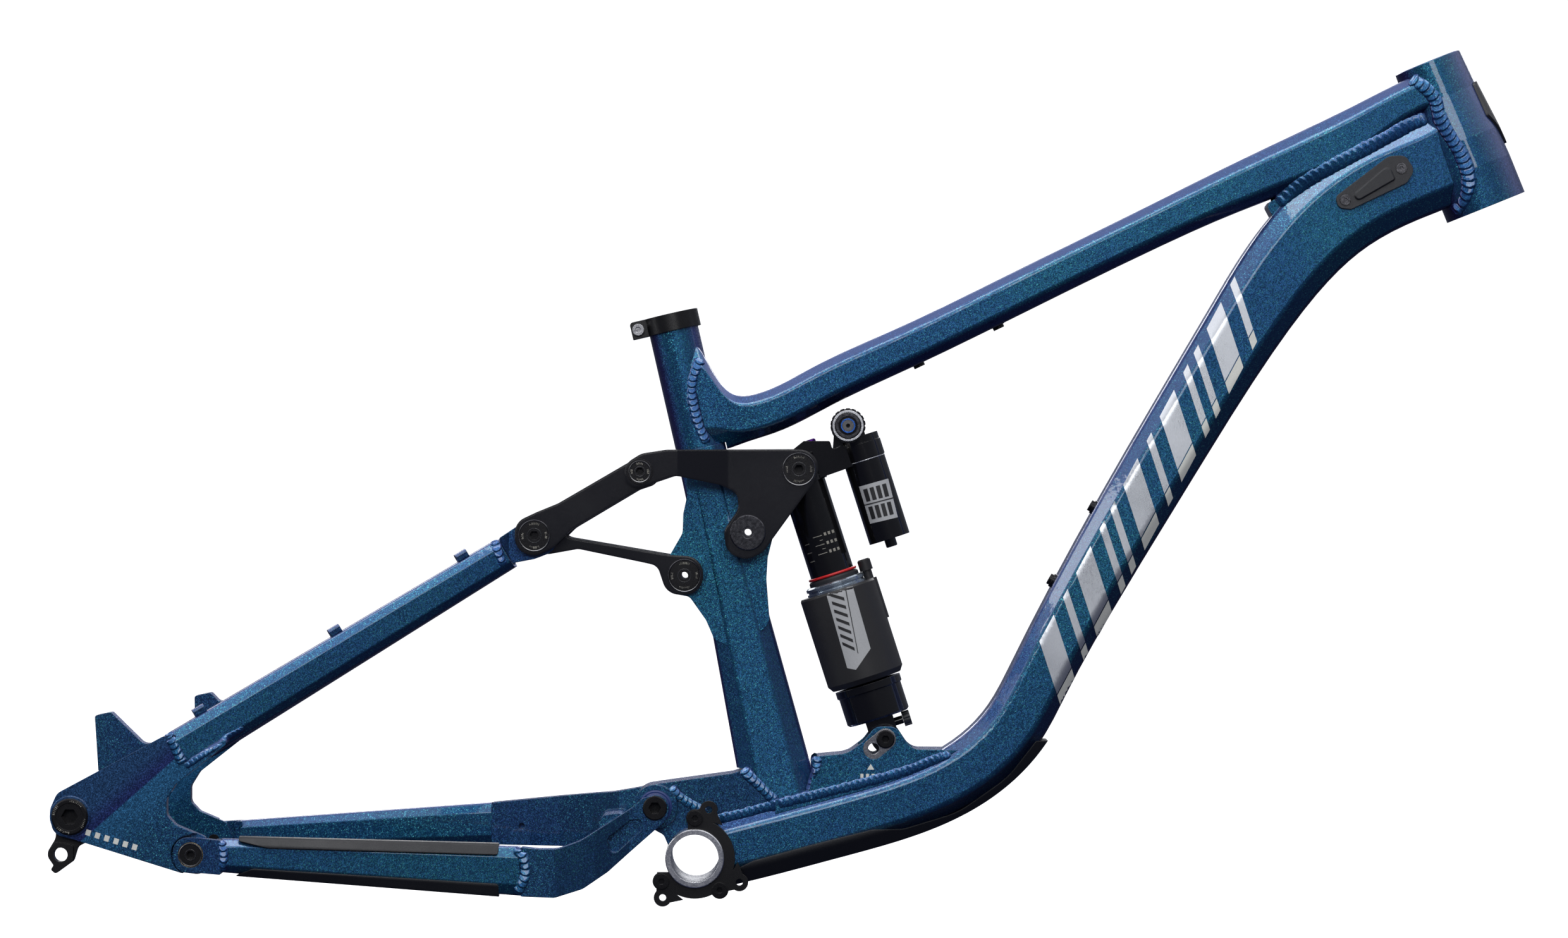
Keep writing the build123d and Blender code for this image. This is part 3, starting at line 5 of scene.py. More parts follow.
import bpy
import bmesh
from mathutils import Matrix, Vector
from mathutils.bvhtree import BVHTree
from mathutils.geometry import delaunay_2d_cdt


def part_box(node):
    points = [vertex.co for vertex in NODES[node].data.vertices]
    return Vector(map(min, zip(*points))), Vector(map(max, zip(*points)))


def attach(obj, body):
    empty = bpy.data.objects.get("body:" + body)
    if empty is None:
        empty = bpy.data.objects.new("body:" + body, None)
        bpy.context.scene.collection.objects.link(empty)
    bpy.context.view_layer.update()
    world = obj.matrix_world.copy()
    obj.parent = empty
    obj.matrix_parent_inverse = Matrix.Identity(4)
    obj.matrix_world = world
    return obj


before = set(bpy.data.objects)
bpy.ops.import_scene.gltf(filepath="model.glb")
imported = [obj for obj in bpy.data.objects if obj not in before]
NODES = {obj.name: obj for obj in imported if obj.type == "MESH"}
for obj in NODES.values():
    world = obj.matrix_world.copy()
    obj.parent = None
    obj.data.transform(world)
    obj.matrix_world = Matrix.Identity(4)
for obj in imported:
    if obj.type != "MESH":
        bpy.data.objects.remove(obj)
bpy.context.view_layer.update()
MM = 0.001
DRIVE, FAR = -1, 1          # sign of Y on the two sides of the bicycle

# Pivots and other centres in side view (x, z), millimetres
MAIN = (-28.5, 36.5)
HORST = (-357.0, 6.3)
LINK = (-7.5, 203.5)
ROCK = (38.2, 234.5)
DOG = (-39.0, 278.5)
STAY = (-115.0, 232.5)
SHOCK_TOP = (75.1, 280.2)
SHOCK_BASE = (137.5, 85.5)
AXLE = (-442.5, 33.5)
DIAL = (110.5, 311.5)
DOWN = Vector(((SHOCK_BASE[0] - SHOCK_TOP[0]), 0, (SHOCK_BASE[1] - SHOCK_TOP[1]))).normalized()
FRONT = Vector((-DOWN.z, 0, DOWN.x))


def mm(x, y, z):
    return Vector((x * MM, y * MM, z * MM))


# ---------------------------------------------------------------- materials
def new_material(name):
    material = bpy.data.materials.new(name)
    material.use_nodes = True
    tree = material.node_tree
    shader = tree.nodes["Principled BSDF"]
    return material, tree, shader


def node(tree, kind, **inputs):
    made = tree.nodes.new(kind)
    for key, value in inputs.items():
        name = key.replace("_", " ")
        if name in made.inputs:
            made.inputs[name].default_value = value
        else:
            setattr(made, key, value)
    return made


def ramp(tree, factor, stops):
    made = tree.nodes.new("ShaderNodeValToRGB")
    while len(made.color_ramp.elements) < len(stops):
        made.color_ramp.elements.new(0.5)
    for element, (place, colour) in zip(made.color_ramp.elements, stops):
        element.position = place
        element.color = (*colour, 1)
    tree.links.new(factor, made.inputs[0])
    return made.outputs[0]


def maths(tree, operation, a, b=None):
    made = tree.nodes.new("ShaderNodeMath")
    made.operation = operation
    for index, value in enumerate((a, b)):
        if value is None:
            continue
        if isinstance(value, (int, float)):
            made.inputs[index].default_value = value
        else:
            tree.links.new(value, made.inputs[index])
    return made.outputs[0]


def mixed(tree, factor, a, b):
    made = tree.nodes.new("ShaderNodeMix")
    made.data_type = "RGBA"
    for socket, value in ((made.inputs[0], factor), (made.inputs[6], a), (made.inputs[7], b)):
        if isinstance(value, (int, float)):
            socket.default_value = value
        elif isinstance(value, tuple):
            socket.default_value = (*value, 1)
        else:
            tree.links.new(value, socket)
    return made.outputs[2]


def stretch(tree, value, low, high, to_low=0.0, to_high=1.0):
    made = tree.nodes.new("ShaderNodeMapRange")
    made.interpolation_type = "SMOOTHSTEP"
    for index, number in ((1, low), (2, high), (3, to_low), (4, to_high)):
        made.inputs[index].default_value = number
    tree.links.new(value, made.inputs[0])
    return made.outputs[0]


GLINT = (0.120, 0.620, 0.580)       # colour of the few brightest flakes
CREASE_SOFT = 0.6                   # half width of a painted crease, mm
CREASE_PAINTED_LIGHT = 34.0                  # reach of the painted light below a crease, mm
CREASE_PAINTED_SHADE = 16.0                 # reach of the painted shade above it, mm
FLAKE_SIZE = 0.55                   # mm
FLAKE_TILT = 0.30
COAT_IOR = 1.5


def paint(name, bevel=0.7, depth=1.0, deep=0.30, crease=None):
    """Colour-shift metallic paint under a clear coat: teal flakes on the flanks, lilac above, indigo below;
    the lighter lilac on upward facets is painted light and the dark indigo on downward facets is painted
    shade.

    depth scales the flank colour: below 1 it gives a darker copy of the paint as painted shade, above 1 a
    lighter copy as painted light; deep is the share of plain blue mixed into it. crease is a side-view line
    (x, z, x, z) in millimetres: above it the paint is darker and more violet as painted shade, below it
    lighter as painted light.
    """
    material, tree, shader = new_material(name)
    link = tree.links.new
    place = tree.nodes.new("ShaderNodeTexCoord")
    flakes = tree.nodes.new("ShaderNodeTexVoronoi")
    flakes.inputs["Scale"].default_value = 1 / (FLAKE_SIZE * MM)
    link(place.outputs["Object"], flakes.inputs["Vector"])
    parts = tree.nodes.new("ShaderNodeSeparateColor")
    link(flakes.outputs["Color"], parts.inputs[0])
    # the facet's direction decides the hue: sideways facets get the teal flakes, the others the violet shift,
    # lighter lilac on upward facets as painted light from above and dark indigo on downward facets as painted
    # shade
    axis = tree.nodes.new("ShaderNodeSeparateXYZ")
    link(place.outputs["Normal"], axis.inputs[0])
    flank = stretch(tree, maths(tree, "ABSOLUTE", axis.outputs[1]), 0.56, 0.95)
    height = stretch(tree, axis.outputs[2], -0.55, 0.55)
    teals = ((0.0, (0.004, 0.062, 0.125)), (0.55, (0.007, 0.110, 0.180)), (0.90, (0.014, 0.200, 0.260)))
    flake_stops = [(stop, tuple(depth * c for c in teal)) for stop, teal in teals]
    flake = ramp(tree, parts.outputs[0], flake_stops + [(0.985, GLINT)])
    edge_painted_light = ramp(tree, height, [(0.0, (0.010, 0.008, 0.070)), (0.45, (0.020, 0.022, 0.150)),
                               (1.0, (0.050, 0.090, 0.270))])
    tone = node(tree, "ShaderNodeTexNoise", Scale=7.0, Detail=2.0)
    link(place.outputs["Object"], tone.inputs["Vector"])
    drift = stretch(tree, tone.outputs[0], 0.35, 0.65)
    flank_colour = mixed(tree, maths(tree, "ADD", maths(tree, "MULTIPLY", drift, 0.3), deep), flake,
                         tuple(depth * c for c in (0.010, 0.045, 0.190)))
    # painted light and shade round a crease: lighter paint below the line as a lit facet, darker violet paint
    # above it as a shaded facet
    if crease:
        x0, z0, x1, z1 = crease
        length = math.hypot(x1 - x0, z1 - z0)
        spot = tree.nodes.new("ShaderNodeSeparateXYZ")
        link(place.outputs["Object"], spot.inputs[0])
        across = maths(tree, "SUBTRACT", maths(tree, "MULTIPLY", spot.outputs[2], (x1 - x0) / length / MM),
                       maths(tree, "MULTIPLY", spot.outputs[0], (z1 - z0) / length / MM))
        offset = (z0 * (x1 - x0) - x0 * (z1 - z0)) / length
        above = stretch(tree, across, offset - CREASE_SOFT, offset + CREASE_SOFT)
        lower = mixed(tree, stretch(tree, across, offset - CREASE_PAINTED_LIGHT, offset), flank_colour,
                      (0.016, 0.105, 0.235))
        upper = mixed(tree, stretch(tree, across, offset, offset + CREASE_PAINTED_SHADE), (0.010, 0.022, 0.120),
                      (0.012, 0.055, 0.150))
        flank_colour = mixed(tree, above, lower, upper)
    # painted glints: the brightest few flakes on the other facets are mixed towards a light blue
    glint_speck = stretch(tree, parts.outputs[1], 0.95, 0.99)
    edge_colour = mixed(tree, maths(tree, "MULTIPLY", glint_speck, 0.35), edge_painted_light, (0.16, 0.22, 0.60))
    link(mixed(tree, flank, edge_colour, flank_colour), shader.inputs["Base Color"])
    # every flake lies a little differently
    centred = tree.nodes.new("ShaderNodeVectorMath")
    centred.operation = "SUBTRACT"
    centred.inputs[1].default_value = (0.5, 0.5, 0.5)
    link(flakes.outputs["Color"], centred.inputs[0])
    tilt = tree.nodes.new("ShaderNodeVectorMath")
    tilt.operation = "SCALE"
    tilt.inputs["Scale"].default_value = FLAKE_TILT
    link(centred.outputs[0], tilt.inputs[0])
    rounded = tree.nodes.new("ShaderNodeBevel")
    rounded.samples = 4
    rounded.inputs["Radius"].default_value = bevel * MM
    leaning = tree.nodes.new("ShaderNodeVectorMath")
    leaning.operation = "ADD"
    link(rounded.outputs[0], leaning.inputs[0])
    link(tilt.outputs[0], leaning.inputs[1])
    unit = tree.nodes.new("ShaderNodeVectorMath")
    unit.operation = "NORMALIZE"
    link(leaning.outputs[0], unit.inputs[0])
    link(unit.outputs[0], shader.inputs["Normal"])
    # the clear coat stays smooth, apart from a faint orange peel
    peel = node(tree, "ShaderNodeTexNoise", Scale=260.0, Detail=1.0)
    link(place.outputs["Object"], peel.inputs["Vector"])
    bump = node(tree, "ShaderNodeBump", Strength=0.03, Distance=0.001)
    link(peel.outputs[0], bump.inputs["Height"])
    link(rounded.outputs[0], bump.inputs["Normal"])
    link(bump.outputs[0], shader.inputs["Coat Normal"])
    shader.inputs["Metallic"].default_value = 0.80
    shader.inputs["Roughness"].default_value = 0.40
    shader.inputs["Coat Weight"].default_value = 1.0
    shader.inputs["Coat Roughness"].default_value = 0.04
    shader.inputs["Coat IOR"].default_value = COAT_IOR
    return material


ROUGHNESS_SPREAD = 0.18             # how far a finish varies, as a share of its roughness


def finish_material(name, colour, metallic, roughness, grain=900.0, grain_depth=0.10, coat=0.0,
                    vary=0.12, bevel=0.5, stretch_by=(1, 1, 1)):
    """Metal, plastic or rubber with fine grain in its colour, roughness and bump."""
    material, tree, shader = new_material(name)
    link = tree.links.new
    place = tree.nodes.new("ShaderNodeTexCoord")
    mapping = tree.nodes.new("ShaderNodeMapping")
    mapping.inputs["Scale"].default_value = stretch_by
    link(place.outputs["Object"], mapping.inputs["Vector"])
    noise = node(tree, "ShaderNodeTexNoise", Scale=grain, Detail=3.0, Roughness=0.6)
    link(mapping.outputs[0], noise.inputs["Vector"])
    broad = node(tree, "ShaderNodeTexNoise", Scale=22.0, Detail=4.0, Roughness=0.6)
    link(place.outputs["Object"], broad.inputs["Vector"])
    low = tuple(channel * (1 - vary) for channel in colour)
    high = tuple(min(1.0, channel * (1 + vary)) for channel in colour)
    link(ramp(tree, noise.outputs[0], [(0.35, low), (0.65, high)]), shader.inputs["Base Color"])
    blend = maths(tree, "ADD", maths(tree, "MULTIPLY", noise.outputs[0], 0.5),
                  maths(tree, "MULTIPLY", broad.outputs[0], 0.5))
    rough = stretch(tree, blend, 0.3, 0.7, roughness * (1 - ROUGHNESS_SPREAD),
                    min(1.0, roughness * (1 + ROUGHNESS_SPREAD)))
    link(rough, shader.inputs["Roughness"])
    rounded = tree.nodes.new("ShaderNodeBevel")
    rounded.samples = 4
    rounded.inputs["Radius"].default_value = bevel * MM
    bump = node(tree, "ShaderNodeBump", Strength=grain_depth, Distance=0.0004)
    link(noise.outputs[0], bump.inputs["Height"])
    link(rounded.outputs[0], bump.inputs["Normal"])
    link(bump.outputs[0], shader.inputs["Normal"])
    shader.inputs["Metallic"].default_value = metallic
    shader.inputs["Coat Weight"].default_value = coat
    shader.inputs["Coat Roughness"].default_value = 0.05
    return material


PAINT = paint("flake_paint")
# darker copy of the frame paint as painted shade on the pivot housing, yoke, horst ends, stay eyes, brake
# mount and cable guides
SHADED_PAINT_COPY = paint("flake_paint_darker_as_painted_shade", depth=0.72, deep=0.55)
# darker copy of the frame paint as painted shade on the dropouts, with painted light below the crease and
# painted shade above it
DROPOUT_PAINT = paint("flake_paint_dropout", depth=0.8, deep=0.45, crease=(-428.0, 22.0, -371.0, 72.0))
# lighter copy of the frame paint as painted light on the weld beads
WELD_PAINT = paint("flake_paint_on_welds", bevel=0.2, depth=1.25, deep=0.5)
LINK_BLACK = finish_material("polished_black_anodising", (0.004, 0.004, 0.006), 0.0, 0.20, grain=1500,
                             grain_depth=0.02, coat=1.0, bevel=2.0)
SATIN_BLACK = finish_material("satin_black_anodising", (0.008, 0.008, 0.009), 0.2, 0.30, grain=1500,
                              grain_depth=0.05, bevel=0.5)
GLOSS_BLACK = finish_material("gloss_black_shock", (0.005, 0.005, 0.006), 0.1, 0.12, grain=900,
                              grain_depth=0.01, coat=0.6, bevel=0.5)
CAN_BLACK = finish_material("bead_blasted_can", (0.022, 0.022, 0.024), 0.25, 0.46, grain=2200,
                            grain_depth=0.16, bevel=0.4)
RUBBER = finish_material("moulded_rubber", (0.010, 0.011, 0.014), 0.0, 0.52, grain=1300, grain_depth=0.25,
                         bevel=1.0)
PLASTIC = finish_material("moulded_plastic", (0.020, 0.021, 0.025), 0.0, 0.42, grain=1700, grain_depth=0.25,
                          bevel=0.6)
BARE_ALLOY = finish_material("turned_aluminium", (0.74, 0.75, 0.78), 1.0, 0.26, grain=700,
                             grain_depth=0.06, bevel=0.4, stretch_by=(1, 6, 1), vary=0.05)
BOLT_BLACK = finish_material("black_oxide_bolt", (0.020, 0.020, 0.022), 0.75, 0.28, grain=1600,
                             grain_depth=0.05, bevel=0.35)
STEEL = finish_material("turned_steel", (0.52, 0.52, 0.54), 1.0, 0.24, grain=800, grain_depth=0.06,
                        bevel=0.3, vary=0.08)
BOLT_RIM = finish_material("polished_rim", (0.16, 0.16, 0.165), 1.0, 0.18, grain=900, grain_depth=0.02,
                           bevel=0.1, vary=0.06)
AXLE_STEEL = finish_material("dark_turned_steel", (0.10, 0.10, 0.11), 1.0, 0.22, grain=500, grain_depth=0.08,
                             bevel=0.3, vary=0.25)
BRASS = finish_material("bearing_race", (0.62, 0.50, 0.30), 1.0, 0.25, grain=800, grain_depth=0.04, bevel=0.3)
RED = finish_material("red_rubber_ring", (0.55, 0.012, 0.014), 0.0, 0.32, grain=900, grain_depth=0.06,
                      bevel=0.3)
COLLAR = finish_material("smoked_collar", (0.40, 0.47, 0.54), 0.9, 0.20, grain=700, grain_depth=0.03,
                         bevel=0.3)
DAMPER = finish_material("polished_black_damper", (0.010, 0.010, 0.011), 0.35, 0.10, grain=900,
                         grain_depth=0.01, coat=0.5, bevel=0.2)
ETCHING = finish_material("laser_etching", (0.30, 0.29, 0.25), 0.2, 0.45, grain=1500, grain_depth=0.1,
                          bevel=0.1)
LABEL = finish_material("printed_label_grey", (0.42, 0.43, 0.44), 0.0, 0.35, grain=1300, grain_depth=0.04,
                        bevel=0.1, vary=0.05)
DECAL = finish_material("brushed_silver_foil", (0.70, 0.73, 0.77), 0.85, 0.30, grain=1400, grain_depth=0.02,
                        bevel=0.1, stretch_by=(3.0, 1, 0.35), vary=0.06)
CREAM = finish_material("off_white_print", (0.70, 0.71, 0.66), 0.0, 0.35, grain=1300, grain_depth=0.04,
                        bevel=0.1, vary=0.05)
BLUE = finish_material("blue_anodising", (0.045, 0.16, 0.60), 0.8, 0.25, grain=1200, grain_depth=0.03,
                       bevel=0.2)
PURPLE = finish_material("purple_anodising", (0.16, 0.03, 0.40), 0.8, 0.25, grain=1200, grain_depth=0.03,
                         bevel=0.2)
DIAL_GREY = finish_material("dial_face_grey", (0.13, 0.13, 0.135), 0.8, 0.30, grain=1200, grain_depth=0.03,
                            bevel=0.2)
SEAL_BLUE = finish_material("blue_bearing_seal", (0.012, 0.035, 0.16), 0.0, 0.40, grain=1200,
                            grain_depth=0.05, bevel=0.2)

LOOKS = {
    PAINT: ["head_tube", "top_tube", "down_tube", "seat_tube", "seat_mast", "shock_mount", "chainstay_right",
            "chainstay_left", "seatstay_right", "seatstay_left"],
    SHADED_PAINT_COPY: ["pivot_housing", "chainstay_yoke", "horst_end_right", "horst_end_left", "seatstay_eyes",
                 "brake_mount", "cable_guides"],
    DROPOUT_PAINT: ["dropout_right", "dropout_left"],
    LINK_BLACK: ["rocker_right", "rocker_left", "dogbones", "lower_link"],
    SATIN_BLACK: ["iscg_plate", "seat_clamp", "derailleur_hanger"],
    BARE_ALLOY: ["bb_shell"],
    STEEL: ["flip_chips", "seat_clamp_bolt"],
    AXLE_STEEL: ["rocker_axle", "cover_screws"],
    BOLT_BLACK: ["rear_axle", "iscg_bolts", "bottle_bosses", "shock_bolt", "main_pivot_axle", "horst_bolts",
                 "lower_link_axle", "dog_pins", "trunnion_bolts", "dogbone_bolts"],
    GLOSS_BLACK: ["shock_head", "reservoir", "compression_dial", "lower_can"],
    CAN_BLACK: ["air_can", "valve_cap"],
    BRASS: ["main_pivot_bearings", "mast_bearings", "horst_bearings", "seatstay_bearings"],
    RUBBER: ["down_tube_guard", "chainstay_guards", "wiper_seal"],
    PLASTIC: ["cable_port_cover", "head_badge", "rebound_knob"],
    RED: ["o_ring"],
    COLLAR: ["can_collar"],
    DAMPER: ["damper_body"],
}
for material, names in LOOKS.items():
    for name in names:
        for slot in NODES[name].material_slots:
            slot.material = material


# ---------------------------------------------------------------- mesh helpers
def mesh_object(name, vertices, faces, material, body, smooth=True):
    mesh = bpy.data.meshes.new(name)
    mesh.from_pydata([tuple(v) for v in vertices], [], faces)
    mesh.validate()
    mesh.update()
    made = bpy.data.objects.new(name, mesh)
    bpy.context.scene.collection.objects.link(made)
    mesh.materials.append(material)
    if smooth:
        for polygon in mesh.polygons:
            polygon.use_smooth = True
    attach(made, body)
    return made


def surface(*names):
    """Ray target made of CAD nodes."""
    vertices, faces = [], []
    for name in names:
        start = len(vertices)
        mesh = NODES[name].data
        vertices += [v.co.copy() for v in mesh.vertices]
        faces += [[start + index for index in polygon.vertices] for polygon in mesh.polygons]
    return BVHTree.FromPolygons(vertices, faces)


def side_hit(target, x, z, sign):
    """Where a line of sight along Y first meets the target, and the normal there."""
    place, normal, _, _ = target.ray_cast(mm(x, sign * 200, z), Vector((0, -sign, 0)))
    return place, normal


def smooth_path(points, step):
    """Evenly spaced points on a Catmull-Rom curve through the given ones."""
    points = [Vector(p) for p in points]
    fine = []
    for i in range(len(points) - 1):
        before = points[i - 1] if i else 2 * points[0] - points[1]
        a, b = points[i], points[i + 1]
        after = points[i + 2] if i + 2 < len(points) else 2 * b - a
        for k in range(20):
            t = k / 20
            fine.append(0.5 * (2 * a + (b - before) * t + (2 * before - 5 * a + 4 * b - after) * t ** 2
                               + (3 * a - before - 3 * b + after) * t ** 3))
    fine.append(points[-1])
    total = sum((q - p).length for p, q in zip(fine, fine[1:]))
    count = max(2, round(total / step))
    even, walked, k = [fine[0]], 0.0, 0
    for i in range(1, count):
        want = total * i / count
        while walked + (fine[k + 1] - fine[k]).length < want:
            walked += (fine[k + 1] - fine[k]).length
            k += 1
        part = (want - walked) / (fine[k + 1] - fine[k]).length
        even.append(fine[k].lerp(fine[k + 1], part))
    even.append(fine[-1])
    return even


STEPS_PER_RIPPLE = 9
ACROSS = 12
WIDTH_CHANCE = 0.09                 # how unevenly wide the ripples are
RIPPLE_BOW = 0.55                   # how far a ripple lags at the edges, in ripples
BEAD_BASE = 0.42                    # share of the height that lies under the ripples
BEAD_SINK = 0.0005                  # how deep the edges go into the surface, metres
END_STEPS = 5                       # steps over which a bead tapers at its ends
WELD_REACH = 0.42                   # share of the width where both surfaces are sought


def bead(name, centres, normals, body, width, height):
    """Weld bead of overlapping ripples along a line on a surface. Lengths in metres."""
    chance = random.Random(name)
    count = len(centres)
    vertices, faces = [], []
    ripples = count // STEPS_PER_RIPPLE + 3
    ripple_width = [1 + chance.uniform(-WIDTH_CHANCE, WIDTH_CHANCE) for _ in range(ripples)]
    for i, (centre, normal) in enumerate(zip(centres, normals)):
        ahead = centres[min(i + 2, count - 1)] - centres[max(i - 2, 0)]
        sideways = ahead.normalized().cross(normal).normalized()
        turn = i / STEPS_PER_RIPPLE
        ends = min(1.0, (i + 1) / END_STEPS, (count - i) / END_STEPS)
        for k in range(ACROSS + 1):
            t = 2 * k / ACROSS - 1
            phase = turn + RIPPLE_BOW * t * t
            ripple = phase - math.floor(phase)
            half = 0.5 * width * ripple_width[int(math.floor(phase))] * (0.55 + 0.45 * ends)
            crown = math.sqrt(max(0.0, 1 - t * t))
            swell = BEAD_BASE + (1 - BEAD_BASE) * ripple ** 1.2
            lift = height * crown * swell * ends - BEAD_SINK * (1 - crown) - 0.0001
            vertices.append(centre + sideways * (t * half) + normal * lift)
    for i in range(count - 1):
        for k in range(ACROSS):
            a = i * (ACROSS + 1) + k
            faces.append((a, a + 1, a + ACROSS + 2, a + ACROSS + 1))
    return mesh_object(name, vertices, faces, WELD_PAINT, body)


def side_weld(name, path, nodes, body, width, pitch, height=1.5, sides=(DRIVE, FAR)):
    """Weld drawn in side view (x, z), spanning the surfaces on both sides of its line."""
    target = surface(*nodes)
    reach = WELD_REACH * width
    for sign in sides:
        line = smooth_path([(x, z, 0) for x, z in path], pitch / STEPS_PER_RIPPLE)
        centres, normals = [], []
        for i, point in enumerate(line):
            ahead = (line[min(i + 1, len(line) - 1)] - line[max(i - 1, 0)]).normalized()
            place, normal = side_hit(target, point.x, point.y, sign)
            left, _ = side_hit(target, point.x - ahead.y * reach, point.y + ahead.x * reach, sign)
            right, _ = side_hit(target, point.x + ahead.y * reach, point.y - ahead.x * reach, sign)
            if left is None or right is None:
                if place is None:
                    continue
                centres.append(place)
                normals.append(normal if normal.y * sign > 0 else -normal)
                continue
            middle = (left + right) / 2
            if place is not None and place.y * sign > middle.y * sign:
                middle = place
            outward = (right - left).cross(Vector((ahead.x, 0, ahead.y)))
            outward = outward if outward.y * sign > 0 else -outward
            centres.append(middle)
            normals.append(outward.normalized())
        if len(centres) < 2 * STEPS_PER_RIPPLE:
            continue
        depth = [c.y for c in centres]
        eased, smoothed = [], []
        for i, centre in enumerate(centres):
            near = slice(max(0, i - STEPS_PER_RIPPLE), i + STEPS_PER_RIPPLE + 1)
            eased.append(Vector((centre.x, sum(depth[near]) / len(depth[near]), centre.z)))
            smoothed.append(sum(normals[near], Vector()).normalized())
        side = "right" if sign < 0 else "left"
        bead(f"{name}_{side}", eased, smoothed, body, width * MM, height * MM)


def inside(point, corners):
    x, z = point
    hit = False
    for (ax, az), (bx, bz) in zip(corners, corners[1:] + corners[:1]):
        if (az > z) != (bz > z) and x < (bx - ax) * (z - az) / (bz - az) + ax:
            hit = not hit
    return hit


def patch(name, corners, nodes, body, material, sign=DRIVE, lift=0.14, spacing=2.6, target=None):
    """Thin graphic: a side-view polygon (x, z) laid on the surface of the nodes."""
    target = target or surface(*nodes)
    rim = []
    for (ax, az), (bx, bz) in zip(corners, corners[1:] + corners[:1]):
        pieces = max(1, round(math.hypot(bx - ax, bz - az) / spacing))
        rim += [(ax + (bx - ax) * i / pieces, az + (bz - az) * i / pieces) for i in range(pieces)]
    points = list(rim)
    low_x, high_x = min(p[0] for p in rim), max(p[0] for p in rim)
    low_z, high_z = min(p[1] for p in rim), max(p[1] for p in rim)
    columns = int((high_x - low_x) / spacing)
    rows = int((high_z - low_z) / spacing)
    for i in range(1, columns + 1):
        for k in range(1, rows + 1):
            point = (low_x + i * spacing, low_z + k * spacing)
            near = min(math.hypot(point[0] - p[0], point[1] - p[1]) for p in rim)
            if near > 0.6 * spacing and inside(point, corners):
                points.append(point)
    edges = [(i, (i + 1) % len(rim)) for i in range(len(rim))]
    flat, _, triangles, _, _, _ = delaunay_2d_cdt([Vector(p) for p in points], edges, [], 1, 1e-6)
    vertices, keep = [], []
    for point in flat:
        place, normal = side_hit(target, point.x, point.y, sign)
        keep.append(place is not None)
        if place is None:
            vertices.append(Vector())
        else:
            outward = normal if normal.y * sign > 0 else -normal
            vertices.append(place + outward * lift * MM)
    faces = [tuple(f) if sign < 0 else tuple(reversed(f)) for f in triangles if all(keep[i] for i in f)]
    used = sorted({i for f in faces for i in f})
    order = {old: new for new, old in enumerate(used)}
    return mesh_object(name, [vertices[i] for i in used], [tuple(order[i] for i in f) for f in faces],
                       material, body)


def lathe(name, origin, axis, across, profile, material, body, steps=64):
    """Turned piece; profile is (radius, distance along axis) in millimetres."""
    axis = Vector(axis).normalized()
    across = Vector(across).normalized()
    other = axis.cross(across)
    vertices, faces = [], []
    rings = len(profile)
    for k in range(steps):
        angle = 2 * math.pi * k / steps
        out = across * math.cos(angle) + other * math.sin(angle)
        for radius, distance in profile:
            vertices.append(Vector(origin) * MM + (out * radius + axis * distance) * MM)
    for k in range(steps):
        following = (k + 1) % steps
        for i in range(rings - 1):
            j = i + 1
            faces.append((k * rings + i, following * rings + i, following * rings + j, k * rings + j))
    made = mesh_object(name, vertices, faces, material, body)
    split = made.modifiers.new("edges", "EDGE_SPLIT")
    split.split_angle = math.radians(35)
    return made


MARK_STEP = 6.4             # degrees between etched marks
MARK_PROUD = 0.03           # how far they stand off the metal, mm


def ring_marks(name, centre, y, radius, groups, body, height=1.9, width=0.34):
    """Etched marks round a bolt head: groups of short radial bars, (middle angle, number of bars)."""
    vertices, faces = [], []
    chance = random.Random(name)
    for middle, bars in groups:
        for k in range(bars):
            angle = math.radians(middle + (k - (bars - 1) / 2) * MARK_STEP)
            length = height * chance.choice((1.0, 1.0, 0.55))
            half = width * chance.choice((0.5, 0.5, 1.1))
            out = Vector((math.cos(angle), 0, math.sin(angle)))
            along = Vector((-math.sin(angle), 0, math.cos(angle)))
            base = Vector((centre[0], y, centre[1]))
            start = len(vertices)
            inner = radius - height / 2
            for u, v in ((inner, -half), (inner + length, -half), (inner + length, half), (inner, half)):
                vertices.append((base + out * u + along * v) * MM)
            faces.append((start, start + 1, start + 2, start + 3))
    return mesh_object(name, vertices, faces, ETCHING, body, smooth=False)


# ---------------------------------------------------------------- welds
side_weld("weld_head", [(517, 562), (527, 555), (534, 546), (536, 536), (540, 527), (546, 517), (552, 507),
                        (556, 497), (557.5, 487), (555, 476), (548, 466)],
          ["head_tube", "top_tube", "down_tube"], "front_triangle", 11.0, 4.6, 1.9)
side_weld("weld_seam", [(421, 472.5), (430, 480), (442, 488.5), (455, 496), (468, 503), (484, 511.5),
                        (500, 520), (516, 529), (528, 534)],
          ["top_tube", "down_tube"], "front_triangle", 11.5, 5.2, 1.9)
side_weld("weld_foot", [(14, 27), (34, 31.5), (50, 36), (70, 41), (90, 46), (120, 53.5), (150, 62),
                        (170, 69.5), (184, 75.5)],
          ["down_tube", "shock_mount", "pivot_housing"], "front_triangle", 8.0, 4.2, 1.5)
side_weld("weld_mast_rear", [(35, 64), (40, 58), (47, 51), (54, 44), (58, 40)],
          ["seat_mast", "pivot_housing", "down_tube", "shock_mount"], "front_triangle", 8.5, 4.2, 1.6)
side_weld("weld_mast_front", [(89, 74), (87, 66), (84, 56), (82, 46), (81, 41)],
          ["seat_mast", "shock_mount", "down_tube"], "front_triangle", 7.5, 4.2, 1.6)
side_weld("weld_housing", [(-17, 51), (-12, 45), (-6, 40), (1, 36), (8, 31)],
          ["pivot_housing", "down_tube"], "front_triangle", 7.5, 4.0, 1.4)
side_weld("weld_seat", [(4, 360), (0.5, 352), (-2, 343), (-2, 332), (0, 322), (3.5, 310), (9, 299)],
          ["seat_tube", "top_tube", "seat_mast"], "front_triangle", 8.0, 4.4, 1.6)
